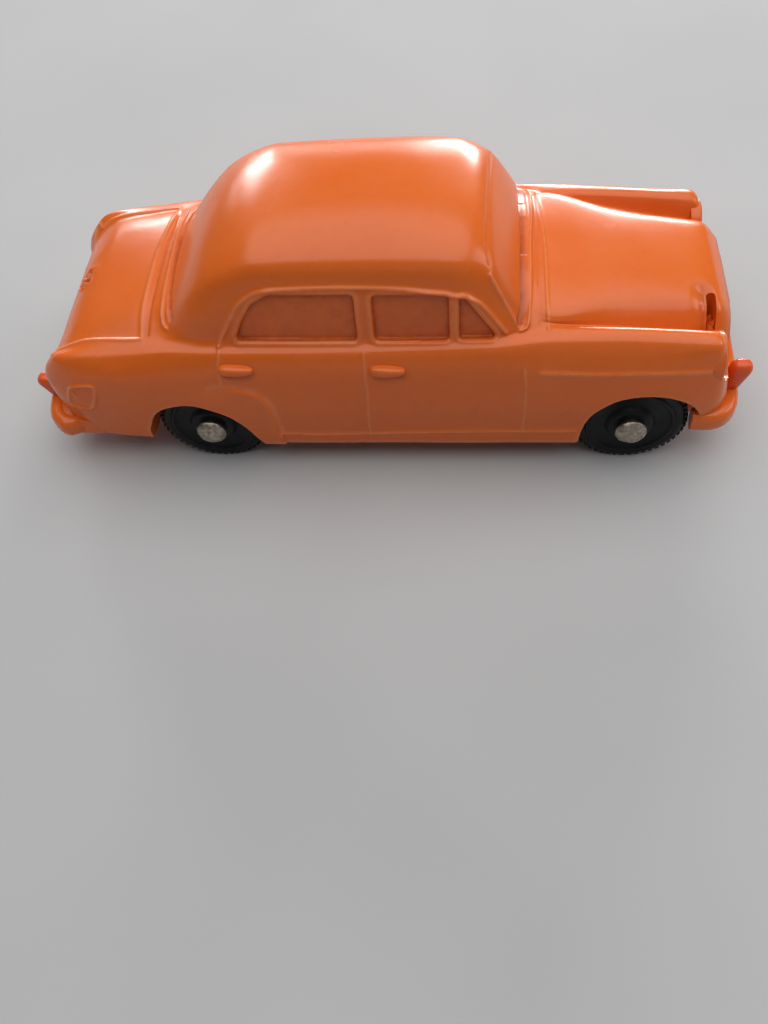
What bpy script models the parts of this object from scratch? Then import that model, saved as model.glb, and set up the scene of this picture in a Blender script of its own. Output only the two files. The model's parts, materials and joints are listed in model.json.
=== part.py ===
"""Toy saloon car: a hollow one-piece soft-vinyl body on two steel axles with four black wheels.

+X is the car's front, +Y its left side and +Z up. All lengths are in metres. The floor that the
wheels stand on is z = 0, and x = 0 is the middle of the overall length.
"""

import math

import bmesh
import bpy
import numpy as np
from mathutils import Matrix

# Overall sizes
LENGTH = 0.110
WIDTH = 0.0394
HEIGHT = 0.0387
BELT_HEIGHT = 0.0244
GROUND_CLEARANCE = 0.0044
WALL = 0.0020

# Places along the body
FRONT_AXLE_X = 0.0377
WHEELBASE = 0.0639
WINDSCREEN_BASE_X = 0.0221
WINDSCREEN_TOP_X = 0.0163
BACKLIGHT_TOP_BACK = 0.0226
BACKLIGHT_BASE_BACK = 0.0306
BONNET_HALF_WIDTH = 0.0088

# Wheels
WHEEL_DIAMETER = 0.0168
WHEEL_WIDTH = 0.0050
SHOULDER = 0.0008
FRONT_TRACK = 0.0314
REAR_TRACK = 0.0314
TREAD_BLOCKS = 36
TREAD_DEPTH = 0.0003
RIM_DIAMETER = 0.0124
RIM_RECESS = 0.0004
HUB_DIAMETER = 0.0068
HUB_PROUD = 0.0005

# Axles
AXLE_DIAMETER = 0.0020
AXLE_END_PLAY = 0.0006
HEAD_DIAMETER = 0.0045
HEAD_HEIGHT = 0.0016
RUNNING_GAP = 0.00025

# Wheel wells
WELL_GAP = 0.0009
WELL_SIDE_GAP = 0.0004
ARCH_STEP = 0.0006
FRONT_ARCH_HEIGHT = 0.0155
REAR_ARCH_HEIGHT = 0.0143

# Bumpers and overriders
BUMPER_HEIGHT = 0.0036
BUMPER_PROUD = 0.0028
BUMPER_ROUNDING = 0.0008
FRONT_BUMPER_Z = 0.0086
REAR_BUMPER_Z = 0.0080
FRONT_BUMPER_WRAP = 0.0066
REAR_BUMPER_WRAP = 0.0088
OVERRIDER_PROUD = 0.0004
OVERRIDER_OUT = 0.0122
OVERRIDER_WIDTH = 0.0022
FRONT_OVERRIDER_HEIGHT = 0.0050
REAR_OVERRIDER_HEIGHT = 0.0036
OVERRIDER_SINK = 0.0006
OVERRIDER_ROOT = 0.0045
FRONT_BUMPER_INSET = 0.0010
REAR_BUMPER_INSET = 0.0003
BUMPER_THICKNESS = 0.0036
NOSE_SETBACK = 0.0010
TAIL_SETBACK = 0.0008

# Nose
GRILLE_WIDTH = 0.0116
GRILLE_HEIGHT = 0.0115
GRILLE_PROUD = 0.0003
GRILLE_DROP = 0.0036
GRILLE_ROOT = 0.0036
POCKET_LENGTH = 0.0015
POCKET_DEPTH = 0.0054
POCKET_SETBACK = 0.0040
POCKET_INSET = 0.0080
NOSE_ROUNDING = 0.0007
LAMP_DIAMETER = 0.0068
LAMP_INSET = 0.0060
LAMP_DROP = 0.0071
LAMP_PROUD = 0.0006
LAMP_SIDES = 24
LAMP_ROOT = 0.0030
LAMP_LAP = 0.0003
TAIL_LAMP_DIAMETER = 0.0034
TAIL_LAMP_SETBACK = 0.0010
TAIL_LAMP_INSET = 0.0052
TAIL_LAMP_DROP = 0.0090
LAMP_SETBACK = 0.0021

# Side windows
WINDOW_SILL = 0.0003
WINDOW_RECESS = 0.0006
PANE_SHARE = 0.52
FRONT_PANE_LENGTH = 0.0103
REAR_PANE_LENGTH = 0.0174
PANE_ROUNDING = 0.0049
PILLAR_WIDTH = 0.0027
VENT_LENGTH = 0.0056
VENT_BAR = 0.0011

# Door handles
HANDLE_LENGTH = 0.0046
HANDLE_HEIGHT = 0.0009
HANDLE_PROUD = 0.0007
HANDLE_ROOT = 0.0010
HANDLE_ROUNDING = 0.0003
HANDLE_FRONT_X = 0.0023
HANDLE_FRONT_Z = 0.0213
HANDLE_REAR_BACK = 0.0196
HANDLE_REAR_Z = 0.0214

NOSE_X = LENGTH / 2 - OVERRIDER_PROUD - BUMPER_PROUD - NOSE_SETBACK
TAIL_X = -LENGTH / 2 + OVERRIDER_PROUD + BUMPER_PROUD + TAIL_SETBACK
REAR_AXLE_X = FRONT_AXLE_X - WHEELBASE
BACKLIGHT_TOP_X = -BACKLIGHT_TOP_BACK
BACKLIGHT_BASE_X = -BACKLIGHT_BASE_BACK
WHEEL_RADIUS = WHEEL_DIAMETER / 2
BORE_RADIUS = AXLE_DIAMETER / 2 + RUNNING_GAP
WELL_RADIUS = WHEEL_RADIUS + WELL_GAP
WELL_INNER_Y = min(FRONT_TRACK, REAR_TRACK) / 2 - WHEEL_WIDTH / 2 - WELL_SIDE_GAP
BEYOND = 0.0100
MERGE = 0.000001


def material(name, colour, roughness, metallic=0.0):
    """A plain Principled material."""
    made = bpy.data.materials.new(name)
    made.use_nodes = True
    shader = made.node_tree.nodes["Principled BSDF"]
    shader.inputs["Base Color"].default_value = (*colour, 1.0)
    shader.inputs["Roughness"].default_value = roughness
    shader.inputs["Metallic"].default_value = metallic
    return made


def new_object(name, bm, collection, finish=None):
    """Turns a bmesh into an object, with its faces pointing out."""
    bmesh.ops.recalc_face_normals(bm, faces=bm.faces)
    mesh = bpy.data.meshes.new(name)
    bm.to_mesh(mesh)
    bm.free()
    made = bpy.data.objects.new(name, mesh)
    collection.objects.link(made)
    if finish:
        mesh.materials.append(finish)
    return made


def helper(obj):
    """Marks an object as a cutter or an addition, which isn't a part of its own."""
    obj.hide_render = True
    obj.display_type = "WIRE"
    return obj


def smooth_line(*keys):
    """A smooth curve through (x, y, z) keys, as a function of x that gives (y, z).

    The slope at a key is the weighted harmonic mean of its neighbours' slopes, so the curve never
    swings past a key.
    """
    table = np.array(sorted(keys))
    x, values = table[:, 0], table[:, 1:]
    step = np.diff(x)[:, None]
    slope = np.diff(values, axis=0) / step
    tangent = np.zeros_like(values)
    tangent[0], tangent[-1] = slope[0], slope[-1]
    before, after = slope[:-1], slope[1:]
    w1 = 2 * step[1:] + step[:-1]
    w2 = step[1:] + 2 * step[:-1]
    same = before * after > 0
    mean = (w1 + w2) / (w1 / np.where(same, before, 1) + w2 / np.where(same, after, 1))
    tangent[1:-1] = np.where(same, mean, 0)

    def at(where):
        i = int(np.clip(np.searchsorted(x, where) - 1, 0, len(x) - 2))
        width = x[i + 1] - x[i]
        t = min(max((where - x[i]) / width, 0.0), 1.0)
        return (
            (1 + 2 * t) * (1 - t) ** 2 * values[i]
            + t * (1 - t) ** 2 * width * tangent[i]
            + t * t * (3 - 2 * t) * values[i + 1]
            + t * t * (t - 1) * width * tangent[i + 1]
        )

    return at


def body_lines():
    """The lines that run the length of the body's left side, each as (x, y, z) keys.

    A y is written as an inset from the widest point, a z from the floor, the belt or the roof.
    """
    tail, nose, front, rear = TAIL_X, NOSE_X, FRONT_AXLE_X, REAR_AXLE_X
    side, floor, belt, roof = WIDTH / 2, GROUND_CLEARANCE, BELT_HEIGHT, HEIGHT
    screen_top, screen_base = WINDSCREEN_TOP_X, WINDSCREEN_BASE_X
    back_top, back_base = BACKLIGHT_TOP_X, BACKLIGHT_BASE_X
    cabin = roof - belt
    bonnet = BONNET_HALF_WIDTH
    return {
        "floor_edge": smooth_line(
            (tail, side - 0.0072, floor + 0.0032),
            (tail + 0.0018, side - 0.0050, floor + 0.0017),
            (tail + 0.0050, side - 0.0034, floor + 0.0010),
            (rear - 0.0103, side - 0.0026, floor + 0.0006),
            (rear + 0.0079, side - 0.0018, floor),
            (front - 0.0076, side - 0.0018, floor),
            (front + 0.0105, side - 0.0030, floor + 0.0012),
            (nose, side - 0.0054, floor + 0.0032),
        ),
        "waist": smooth_line(
            (tail, side - 0.0054, floor + 0.0080),
            (tail + 0.0008, side - 0.0037, floor + 0.0083),
            (tail + 0.0018, side - 0.0025, floor + 0.0087),
            (tail + 0.0033, side - 0.0016, floor + 0.0091),
            (tail + 0.0058, side - 0.0009, floor + 0.0095),
            (rear - 0.0100, side - 0.0003, floor + 0.0095),
            (rear + 0.0090, side, floor + 0.0091),
            (front - 0.0080, side - 0.0001, floor + 0.0093),
            (front + 0.0040, side - 0.0005, floor + 0.0093),
            (nose - 0.0045, side - 0.0010, floor + 0.0093),
            (nose - 0.0012, side - 0.0018, floor + 0.0088),
            (nose, side - 0.0032, floor + 0.0082),
        ),
        "haunch": smooth_line(
            (tail, side - 0.0061, belt - 0.0111),
            (tail + 0.0008, side - 0.0044, belt - 0.0093),
            (tail + 0.0014, side - 0.0035, belt - 0.0082),
            (tail + 0.0023, side - 0.0027, belt - 0.0071),
            (tail + 0.0035, side - 0.0021, belt - 0.0063),
            (tail + 0.0060, side - 0.0014, belt - 0.0056),
            (rear - 0.0100, side - 0.0007, belt - 0.0050),
            (0.0, side - 0.0005, belt - 0.0041),
            (screen_base, side - 0.0006, belt - 0.0040),
            (front, side - 0.0010, belt - 0.0045),
            (nose - 0.0045, side - 0.0016, belt - 0.0053),
            (nose - 0.0012, side - 0.0024, belt - 0.0066),
            (nose, side - 0.0042, belt - 0.0098),
        ),
        "crest": smooth_line(
            (tail, side - 0.0072, belt - 0.0097),
            (tail + 0.0008, side - 0.0054, belt - 0.0075),
            (tail + 0.0014, side - 0.0044, belt - 0.0059),
            (tail + 0.0023, side - 0.0037, belt - 0.0043),
            (tail + 0.0035, side - 0.0031, belt - 0.0033),
            (tail + 0.0060, side - 0.0027, belt - 0.0027),
            (rear - 0.0105, side - 0.0024, belt - 0.0020),
            (back_base + 0.0020, side - 0.0022, belt - 0.0013),
            (back_top + 0.0040, side - 0.0018, belt - 0.0009),
            (0.0, side - 0.0016, belt - 0.0009),
            (screen_top, side - 0.0017, belt - 0.0006),
            (screen_base + 0.0030, side - 0.0024, belt - 0.0001),
            (front - 0.0030, side - 0.0026, belt - 0.0009),
            (front + 0.0050, side - 0.0027, belt - 0.0016),
            (nose - 0.0030, side - 0.0028, belt - 0.0019),
            (nose - 0.0024, side - 0.0032, belt - 0.0027),
            (nose - 0.0015, side - 0.0040, belt - 0.0052),
            (nose, side - 0.0056, belt - 0.0085),
        ),
        "ridge": smooth_line(
            (tail, side - 0.0084, belt - 0.0095),
            (tail + 0.0008, side - 0.0065, belt - 0.0071),
            (tail + 0.0014, side - 0.0055, belt - 0.0054),
            (tail + 0.0023, side - 0.0048, belt - 0.0038),
            (tail + 0.0035, side - 0.0042, belt - 0.0027),
            (tail + 0.0060, side - 0.0037, belt - 0.0021),
            (rear - 0.0105, side - 0.0033, belt - 0.0014),
            (back_base + 0.0020, side - 0.0030, belt - 0.0007),
            (0.0, side - 0.0024, belt - 0.0003),
            (screen_top, side - 0.0026, belt + 0.0001),
            (screen_base + 0.0030, side - 0.0032, belt + 0.0005),
            (front - 0.0030, side - 0.0034, belt - 0.0001),
            (front + 0.0050, side - 0.0035, belt - 0.0008),
            (nose - 0.0030, side - 0.0036, belt - 0.0013),
            (nose - 0.0024, side - 0.0039, belt - 0.0021),
            (nose - 0.0015, side - 0.0047, belt - 0.0045),
            (nose, side - 0.0063, belt - 0.0080),
        ),
        "gutter": smooth_line(
            (tail, side - 0.0104, belt - 0.0102),
            (tail + 0.0008, side - 0.0090, belt - 0.0082),
            (tail + 0.0018, side - 0.0077, belt - 0.0056),
            (tail + 0.0033, side - 0.0065, belt - 0.0038),
            (tail + 0.0058, side - 0.0055, belt - 0.0024),
            (tail + 0.0078, side - 0.0052, belt - 0.0018),
            (rear - 0.0100, side - 0.0048, belt - 0.0009),
            (back_base, side - 0.0043, belt - 0.0005),
            (back_top, side - 0.0036, belt + 0.0003),
            (0.0, side - 0.0034, belt + 0.0004),
            (screen_top, side - 0.0035, belt + 0.0005),
            (screen_base - 0.0010, side - 0.0043, belt + 0.0005),
            (screen_base + 0.0030, side - 0.0043, belt + 0.0006),
            (front - 0.0030, side - 0.0048, belt - 0.0001),
            (front + 0.0050, side - 0.0050, belt - 0.0009),
            (nose - 0.0045, side - 0.0051, belt - 0.0013),
            (nose - 0.0030, side - 0.0052, belt - 0.0016),
            (nose - 0.0024, side - 0.0054, belt - 0.0024),
            (nose - 0.0015, side - 0.0060, belt - 0.0046),
            (nose, side - 0.0074, belt - 0.0077),
        ),
        "pane": smooth_line(
            (tail, side - 0.0124, belt - 0.0104),
            (tail + 0.0008, side - 0.0112, belt - 0.0084),
            (tail + 0.0018, side - 0.0100, belt - 0.0057),
            (tail + 0.0033, side - 0.0086, belt - 0.0038),
            (tail + 0.0058, side - 0.0072, belt - 0.0023),
            (tail + 0.0078, side - 0.0064, belt - 0.0017),
            (rear - 0.0100, side - 0.0061, belt - 0.0007),
            (back_base, side - 0.0058, belt),
            (back_base + 0.0030, side - 0.0047, belt + 0.07 * cabin),
            (back_base + 0.0050, side - 0.0044, belt + 0.14 * cabin),
            (back_top, side - 0.0041, belt + 0.206 * cabin),
            (back_top + 0.0040, side - 0.0040, belt + 0.255 * cabin),
            (0.0, side - 0.0039, belt + 0.276 * cabin),
            (screen_top - 0.0050, side - 0.0039, belt + 0.276 * cabin),
            (screen_top, side - 0.0040, belt + 0.213 * cabin),
            (screen_top + 0.0030, side - 0.0044, belt + 0.133 * cabin),
            (screen_base, side - 0.0057, belt + 0.084 * cabin),
            (screen_base + 0.0030, side - 0.0053, belt + 0.049 * cabin),
            (front - 0.0030, side - 0.0062, belt - 0.0014),
            (front + 0.0050, side - 0.0066, belt - 0.0031),
            (nose - 0.0045, side - 0.0068, belt - 0.0038),
            (nose - 0.0022, side - 0.0071, belt - 0.0046),
            (nose, side - 0.0086, belt - 0.0068),
        ),
        "pillar": smooth_line(
            (tail, side - 0.0142, belt - 0.0106),
            (tail + 0.0008, side - 0.0131, belt - 0.0085),
            (tail + 0.0018, side - 0.0120, belt - 0.0058),
            (tail + 0.0033, side - 0.0106, belt - 0.0037),
            (tail + 0.0058, side - 0.0091, belt - 0.0021),
            (tail + 0.0078, side - 0.0081, belt - 0.0014),
            (rear - 0.0100, side - 0.0075, belt - 0.0002),
            (back_base, side - 0.0071, belt + 0.035 * cabin),
            (back_base + 0.0030, side - 0.0058, belt + 0.175 * cabin),
            (back_base + 0.0050, side - 0.0054, belt + 0.297 * cabin),
            (back_top, side - 0.0052, belt + 0.423 * cabin),
            (back_top + 0.0040, side - 0.0049, belt + 0.507 * cabin),
            (0.0, side - 0.0047, belt + 0.556 * cabin),
            (screen_top - 0.0050, side - 0.0047, belt + 0.549 * cabin),
            (screen_top, side - 0.0051, belt + 0.437 * cabin),
            (screen_top + 0.0030, side - 0.0056, belt + 0.259 * cabin),
            (screen_base, side - 0.0069, belt + 0.112 * cabin),
            (screen_base + 0.0030, bonnet + 0.0048, belt + 0.084 * cabin),
            (front - 0.0030, bonnet + 0.0024, belt - 0.0004),
            (front + 0.0050, bonnet + 0.0013, belt - 0.0016),
            (nose - 0.0045, bonnet + 0.0015, belt - 0.0022),
            (nose - 0.0022, bonnet + 0.0014, belt - 0.0028),
            (nose, bonnet + 0.0013, belt - 0.0050),
        ),
        "rail": smooth_line(
            (tail, side - 0.0160, belt - 0.0108),
            (tail + 0.0008, side - 0.0151, belt - 0.0086),
            (tail + 0.0018, side - 0.0143, belt - 0.0058),
            (tail + 0.0033, side - 0.0131, belt - 0.0035),
            (tail + 0.0058, side - 0.0118, belt - 0.0019),
            (tail + 0.0078, side - 0.0108, belt - 0.0011),
            (rear - 0.0100, side - 0.0101, belt + 0.0003),
            (back_base - 0.0010, side - 0.0095, belt + 0.063 * cabin),
            (back_base + 0.0010, side - 0.0087, belt + 0.133 * cabin),
            (back_base + 0.0030, side - 0.0079, belt + 0.276 * cabin),
            (back_base + 0.0050, side - 0.0074, belt + 0.423 * cabin),
            (back_top, side - 0.0071, belt + 0.608 * cabin),
            (back_top + 0.0040, side - 0.0068, belt + 0.748 * cabin),
            (back_top + 0.0080, side - 0.0066, belt + 0.818 * cabin),
            (0.0, side - 0.0065, belt + 0.839 * cabin),
            (screen_top - 0.0050, side - 0.0066, belt + 0.818 * cabin),
            (screen_top, side - 0.0073, belt + 0.692 * cabin),
            (screen_top + 0.0030, side - 0.0071, belt + 0.395 * cabin),
            (screen_base, side - 0.0085, belt + 0.147 * cabin),
            (screen_base + 0.0030, bonnet + 0.0034, belt + 0.133 * cabin),
            (front - 0.0030, bonnet, belt + 0.0009),
            (front + 0.0050, bonnet - 0.0012, belt),
            (nose - 0.0045, bonnet - 0.0010, belt - 0.0006),
            (nose - 0.0022, bonnet - 0.0008, belt - 0.0010),
            (nose, bonnet - 0.0008, belt - 0.0034),
        ),
        "top": smooth_line(
            (tail, 0, belt - 0.0110),
            (tail + 0.0008, 0, belt - 0.0087),
            (tail + 0.0018, 0, belt - 0.0058),
            (tail + 0.0033, 0, belt - 0.0034),
            (tail + 0.0044, 0, belt - 0.0024),
            (tail + 0.0078, 0, belt - 0.0009),
            (rear - 0.0100, 0, belt + 0.0006),
            (back_base - 0.0010, 0, belt + 0.091 * cabin),
            (back_base, 0, belt + 0.126 * cabin),
            (back_base + 0.0010, 0, belt + 0.203 * cabin),
            (back_base + 0.0030, 0, belt + 0.388 * cabin),
            (back_base + 0.0050, 0, belt + 0.556 * cabin),
            (back_top, 0, belt + 0.734 * cabin),
            (back_top + 0.0040, 0, belt + 0.881 * cabin),
            (back_top + 0.0080, 0, belt + 0.951 * cabin),
            (back_top + 0.0160, 0, belt + 0.993 * cabin),
            (0.0, 0, roof),
            (screen_top - 0.0050, 0, belt + 0.944 * cabin),
            (screen_top - 0.0015, 0, belt + 0.874 * cabin),
            (screen_top, 0, belt + 0.79 * cabin),
            (screen_top + 0.0030, 0, belt + 0.528 * cabin),
            (screen_base - 0.0007, 0, belt + 0.28 * cabin),
            (screen_base + 0.0004, 0, belt + 0.21 * cabin),
            (screen_base + 0.0030, 0, belt + 0.182 * cabin),
            (front - 0.0030, 0, belt + 0.0014),
            (front + 0.0050, 0, belt + 0.0004),
            (nose - 0.0045, 0, belt - 0.0001),
            (nose - 0.0022, 0, belt - 0.0007),
            (nose, 0, belt - 0.0030),
        ),
    }


def half_section(lines, x):
    """The points of one cross-section's left half, from the floor's middle up to the top's middle."""
    at = {name: line(x) for name, line in lines.items()}
    floor, waist, rail, top = (at[name] for name in ("floor_edge", "waist", "rail", "top"))
    sill = np.array([floor[0] + 0.72 * (waist[0] - floor[0]), floor[1] + 0.0010])
    rocker = np.array([waist[0] - 0.0003, sill[1] + 0.45 * (waist[1] - sill[1])])
    crown = np.array([0.58 * rail[0], rail[1] + 0.78 * (top[1] - rail[1])])
    middle = np.array([0.5 * floor[0], floor[1]])
    points = [(0, floor[1]), middle, floor, sill, rocker, waist, at["haunch"], at["crest"]]
    points += [at["ridge"], at["gutter"], at["pane"], at["pillar"], rail, crown, (0, top[1])]
    return np.array([tuple(point) for point in points])


def rounded(points, samples):
    """A smooth curve through the points: a Catmull-Rom spline whose first and last points are mirrored."""
    points = np.asarray(points)
    ghosts = (points[1] * (-1, 1), points[-2] * (-1, 1))
    padded = np.vstack([ghosts[0], points, ghosts[1]])
    made = []
    for a, b, c, d in zip(padded, padded[1:], padded[2:], padded[3:]):
        for t in np.arange(samples) / samples:
            square = (2 * a - 5 * b + 4 * c - d) * t**2
            cube = (3 * b - a - 3 * c + d) * t**3
            made.append(0.5 * (2 * b + (c - a) * t + square + cube))
    made.append(points[-1])
    return np.array(made)


def inset(points, distance):
    """The half-section moved inwards by a distance, square to itself."""
    padded = np.vstack([points[1] * (-1, 1), points, points[-2] * (-1, 1)])
    along = padded[2:] - padded[:-2]
    along /= np.linalg.norm(along, axis=1)[:, None]
    moved = points + distance * np.column_stack([-along[:, 1], along[:, 0]])
    moved[:, 0] = np.maximum(moved[:, 0], 0)
    moved[0, 0] = moved[-1, 0] = 0
    return moved


def loft(bm, rings):
    """Joins closed rings of (x, y, z) points into one skin, with a face over each end."""
    rows = [[bm.verts.new(point) for point in ring] for ring in rings]
    for near, far in zip(rows, rows[1:]):
        for a, b, c, d in zip(near, near[1:] + near[:1], far[1:] + far[:1], far):
            bm.faces.new((a, b, c, d))
    bm.faces.new(rows[0])
    bm.faces.new(rows[-1])


def whole_ring(x, half):
    """A left half-section and its mirror image, as one closed ring at x."""
    left = [(x, y, z) for y, z in half]
    right = [(x, -y, z) for y, z in half[-2:0:-1]]
    return left + right


def body_stations():
    """Where the outer skin's rings stand: close together where the body turns quickly."""
    spans = (
        (TAIL_X, TAIL_X + 0.0018, 4),
        (TAIL_X + 0.0018, TAIL_X + 0.0078, 5),
        (TAIL_X + 0.0078, BACKLIGHT_BASE_X - 0.0010, 4),
        (BACKLIGHT_BASE_X - 0.0010, BACKLIGHT_TOP_X, 8),
        (BACKLIGHT_TOP_X, BACKLIGHT_TOP_X + 0.0100, 5),
        (BACKLIGHT_TOP_X + 0.0100, WINDSCREEN_TOP_X - 0.0050, 6),
        (WINDSCREEN_TOP_X - 0.0050, WINDSCREEN_BASE_X + 0.0010, 9),
        (WINDSCREEN_BASE_X + 0.0010, NOSE_X - 0.0045, 7),
        (NOSE_X - 0.0045, NOSE_X, 6),
    )
    starts = [np.linspace(start, end, count, endpoint=False) for start, end, count in spans]
    return [*np.concatenate(starts), NOSE_X]


def body_skin(collection, lines, finish):
    """The outer skin as a solid."""
    bm = bmesh.new()
    loft(bm, [whole_ring(x, rounded(half_section(lines, x), 2)) for x in body_stations()])
    for face in bm.faces:
        face.smooth = len(face.verts) == 4
    return new_object("body_shell", bm, collection, finish)


def hollow(collection, lines):
    """The space inside the body, a wall's thickness in from the skin and from the wheel wells."""
    kept = (0, 2, 5, 6, 9, 10, 11, 12, 14)
    stations = np.concatenate([
        np.linspace(TAIL_X + 0.0050, BACKLIGHT_BASE_X, 4, endpoint=False),
        np.linspace(BACKLIGHT_BASE_X + 0.0010, BACKLIGHT_TOP_X + 0.0080, 5, endpoint=False),
        np.linspace(BACKLIGHT_TOP_X + 0.0080, WINDSCREEN_TOP_X - 0.0040, 4, endpoint=False),
        np.linspace(WINDSCREEN_TOP_X - 0.0040, WINDSCREEN_BASE_X, 4, endpoint=False),
        np.linspace(WINDSCREEN_BASE_X, NOSE_X - 0.0080, 4),
    ])
    bm = bmesh.new()
    rings = []
    for x in stations:
        narrowed = inset(half_section(lines, x), WALL)[list(kept)]
        slope = (lines["top"](x + 0.0005)[1] - lines["top"](x - 0.0005)[1]) / 0.001
        narrowed[-3:, 1] -= WALL * (math.hypot(1, slope) - 1)
        rings.append(whole_ring(x, narrowed))
    loft(bm, rings)
    space = helper(new_object("hollow_space", bm, collection))
    for axle_x in (FRONT_AXLE_X, REAR_AXLE_X):
        for side in (1, -1):
            near, far = side * (WELL_INNER_Y - WALL), side * (WIDTH / 2 + BEYOND)
            radius = WELL_RADIUS + WALL
            wall = cylinder("well_wall", radius, axle_x, WHEEL_RADIUS, near, far, 24, collection)
            boolean(space, wall, "DIFFERENCE")
    return space


def side_at(lines, x, z):
    """How far the body's side stands out at a place seen from the side."""
    section = rounded(half_section(lines, x), 8)
    lower, upper = (int(np.argmax(section[:, 0])), int(np.argmin(abs(section[:, 1] - HEIGHT))))
    part = section[lower:upper]
    return float(np.interp(z, part[:, 1], part[:, 0]))


def arch_outline(front):
    """A wheel arch's edge seen from the side, as (x from the axle, z) points from rear to front."""
    top = FRONT_ARCH_HEIGHT if front else REAR_ARCH_HEIGHT
    radius = WHEEL_RADIUS
    if front:
        shares = ((-0.90, -0.10), (-0.88, 0.30), (-0.85, 0.52), (-0.75, 0.72), (-0.60, 0.84))
        shares += ((-0.29, 0.96), (0.13, 1.0), (0.57, 0.965), (0.96, 0.84), (1.17, 0.65))
        shares += ((1.26, 0.45), (1.30, -0.10))
    else:
        shares = ((-1.24, -0.10), (-1.23, 0.48), (-1.13, 0.66), (-0.98, 0.83), (-0.78, 0.93))
        shares += ((-0.50, 0.985), (-0.21, 1.0), (0.07, 0.955), (0.37, 0.85), (0.60, 0.69))
        shares += ((0.82, 0.45), (0.94, 0.25), (0.98, -0.10))
    return [(radius * along, top * up) for along, up in shares]


def prism(name, outline, y_near, y_far, collection):
    """A side outline of (x, z) points, drawn out across the car."""
    bm = bmesh.new()
    face = bm.faces.new([bm.verts.new((x, y_near, z)) for x, z in outline])
    drawn = bmesh.ops.extrude_face_region(bm, geom=[face])
    moved = [item for item in drawn["geom"] if isinstance(item, bmesh.types.BMVert)]
    bmesh.ops.translate(bm, verts=moved, vec=(0, y_far - y_near, 0))
    return helper(new_object(name, bm, collection))


def slab(name, outline, z_low, z_high, collection):
    """A plan outline of (x, y) points, drawn upwards."""
    bm = bmesh.new()
    face = bm.faces.new([bm.verts.new((x, y, z_low)) for x, y in outline])
    drawn = bmesh.ops.extrude_face_region(bm, geom=[face])
    moved = [item for item in drawn["geom"] if isinstance(item, bmesh.types.BMVert)]
    bmesh.ops.translate(bm, verts=moved, vec=(0, 0, z_high - z_low))
    return helper(new_object(name, bm, collection))


def box(name, low, high, collection):
    """A block between two opposite corners."""
    bm = bmesh.new()
    bmesh.ops.create_cube(bm, size=1.0)
    size = [b - a for a, b in zip(low, high)]
    middle = [(a + b) / 2 for a, b in zip(low, high)]
    bmesh.ops.scale(bm, verts=bm.verts, vec=size)
    bmesh.ops.translate(bm, verts=bm.verts, vec=middle)
    return helper(new_object(name, bm, collection))


def cylinder(name, radius, x, z, y_near, y_far, sides, collection):
    """A round bar or hole that lies across the car."""
    bm = bmesh.new()
    length = abs(y_far - y_near)
    bmesh.ops.create_cone(bm, cap_ends=True, segments=sides, radius1=radius, radius2=radius, depth=length)
    bmesh.ops.rotate(bm, verts=bm.verts, matrix=Matrix.Rotation(math.pi / 2, 3, "X"))
    bmesh.ops.translate(bm, verts=bm.verts, vec=(x, (y_near + y_far) / 2, z))
    return helper(new_object(name, bm, collection))


def spun(profile, axis, steps):
    """A closed ring of (radius, along) points turned about X or Y, as a bmesh."""
    bm = bmesh.new()
    if axis == "Y":
        verts = [bm.verts.new((radius, along, 0)) for radius, along in profile]
        direction = (0, 1, 0)
    else:
        verts = [bm.verts.new((along, radius, 0)) for radius, along in profile]
        direction = (1, 0, 0)
    edges = [bm.edges.new(pair) for pair in zip(verts, verts[1:] + verts[:1])]
    bmesh.ops.spin(
        bm, geom=verts + edges, cent=(0, 0, 0), axis=direction, angle=math.tau, steps=steps
    )
    bmesh.ops.remove_doubles(bm, verts=bm.verts, dist=MERGE)
    for face in bm.faces:
        face.smooth = True
    return bm


def bevel(obj, width, segments):
    """Rounds an object's edges."""
    modifier = obj.modifiers.new("rounding", "BEVEL")
    modifier.width = width
    modifier.segments = segments
    modifier.limit_method = "ANGLE"
    modifier.use_clamp_overlap = True


def boolean(target, operand, operation):
    """Adds or cuts one object with another."""
    modifier = target.modifiers.new(operand.name, "BOOLEAN")
    modifier.operation = operation
    modifier.object = operand
    modifier.solver = "EXACT"


def cut_wheel_wells(body, collection):
    """Opens a round well round each wheel, the arch in the side and one bore for each axle."""
    for end, axle_x, track in (("front", FRONT_AXLE_X, FRONT_TRACK), ("rear", REAR_AXLE_X, REAR_TRACK)):
        arch = [(axle_x + x, z) for x, z in arch_outline(end == "front")]
        face_y = track / 2 + WHEEL_WIDTH / 2
        for name, side in (("left", 1), ("right", -1)):
            near = side * WELL_INNER_Y
            well = cylinder(
                f"{end}_{name}_well", WELL_RADIUS, axle_x, WHEEL_RADIUS,
                near, side * (face_y + WELL_SIDE_GAP), 32, collection,
            )
            boolean(body, well, "DIFFERENCE")
            inner, outer = side * (WELL_INNER_Y + ARCH_STEP), side * (WIDTH / 2 + BEYOND)
            opening = prism(f"{end}_{name}_arch", arch, inner, outer, collection)
            boolean(body, opening, "DIFFERENCE")
        far = WIDTH / 2 + BEYOND
        bore = cylinder(f"{end}_bore", BORE_RADIUS, axle_x, WHEEL_RADIUS, -far, far, 20, collection)
        boolean(body, bore, "DIFFERENCE")


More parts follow.
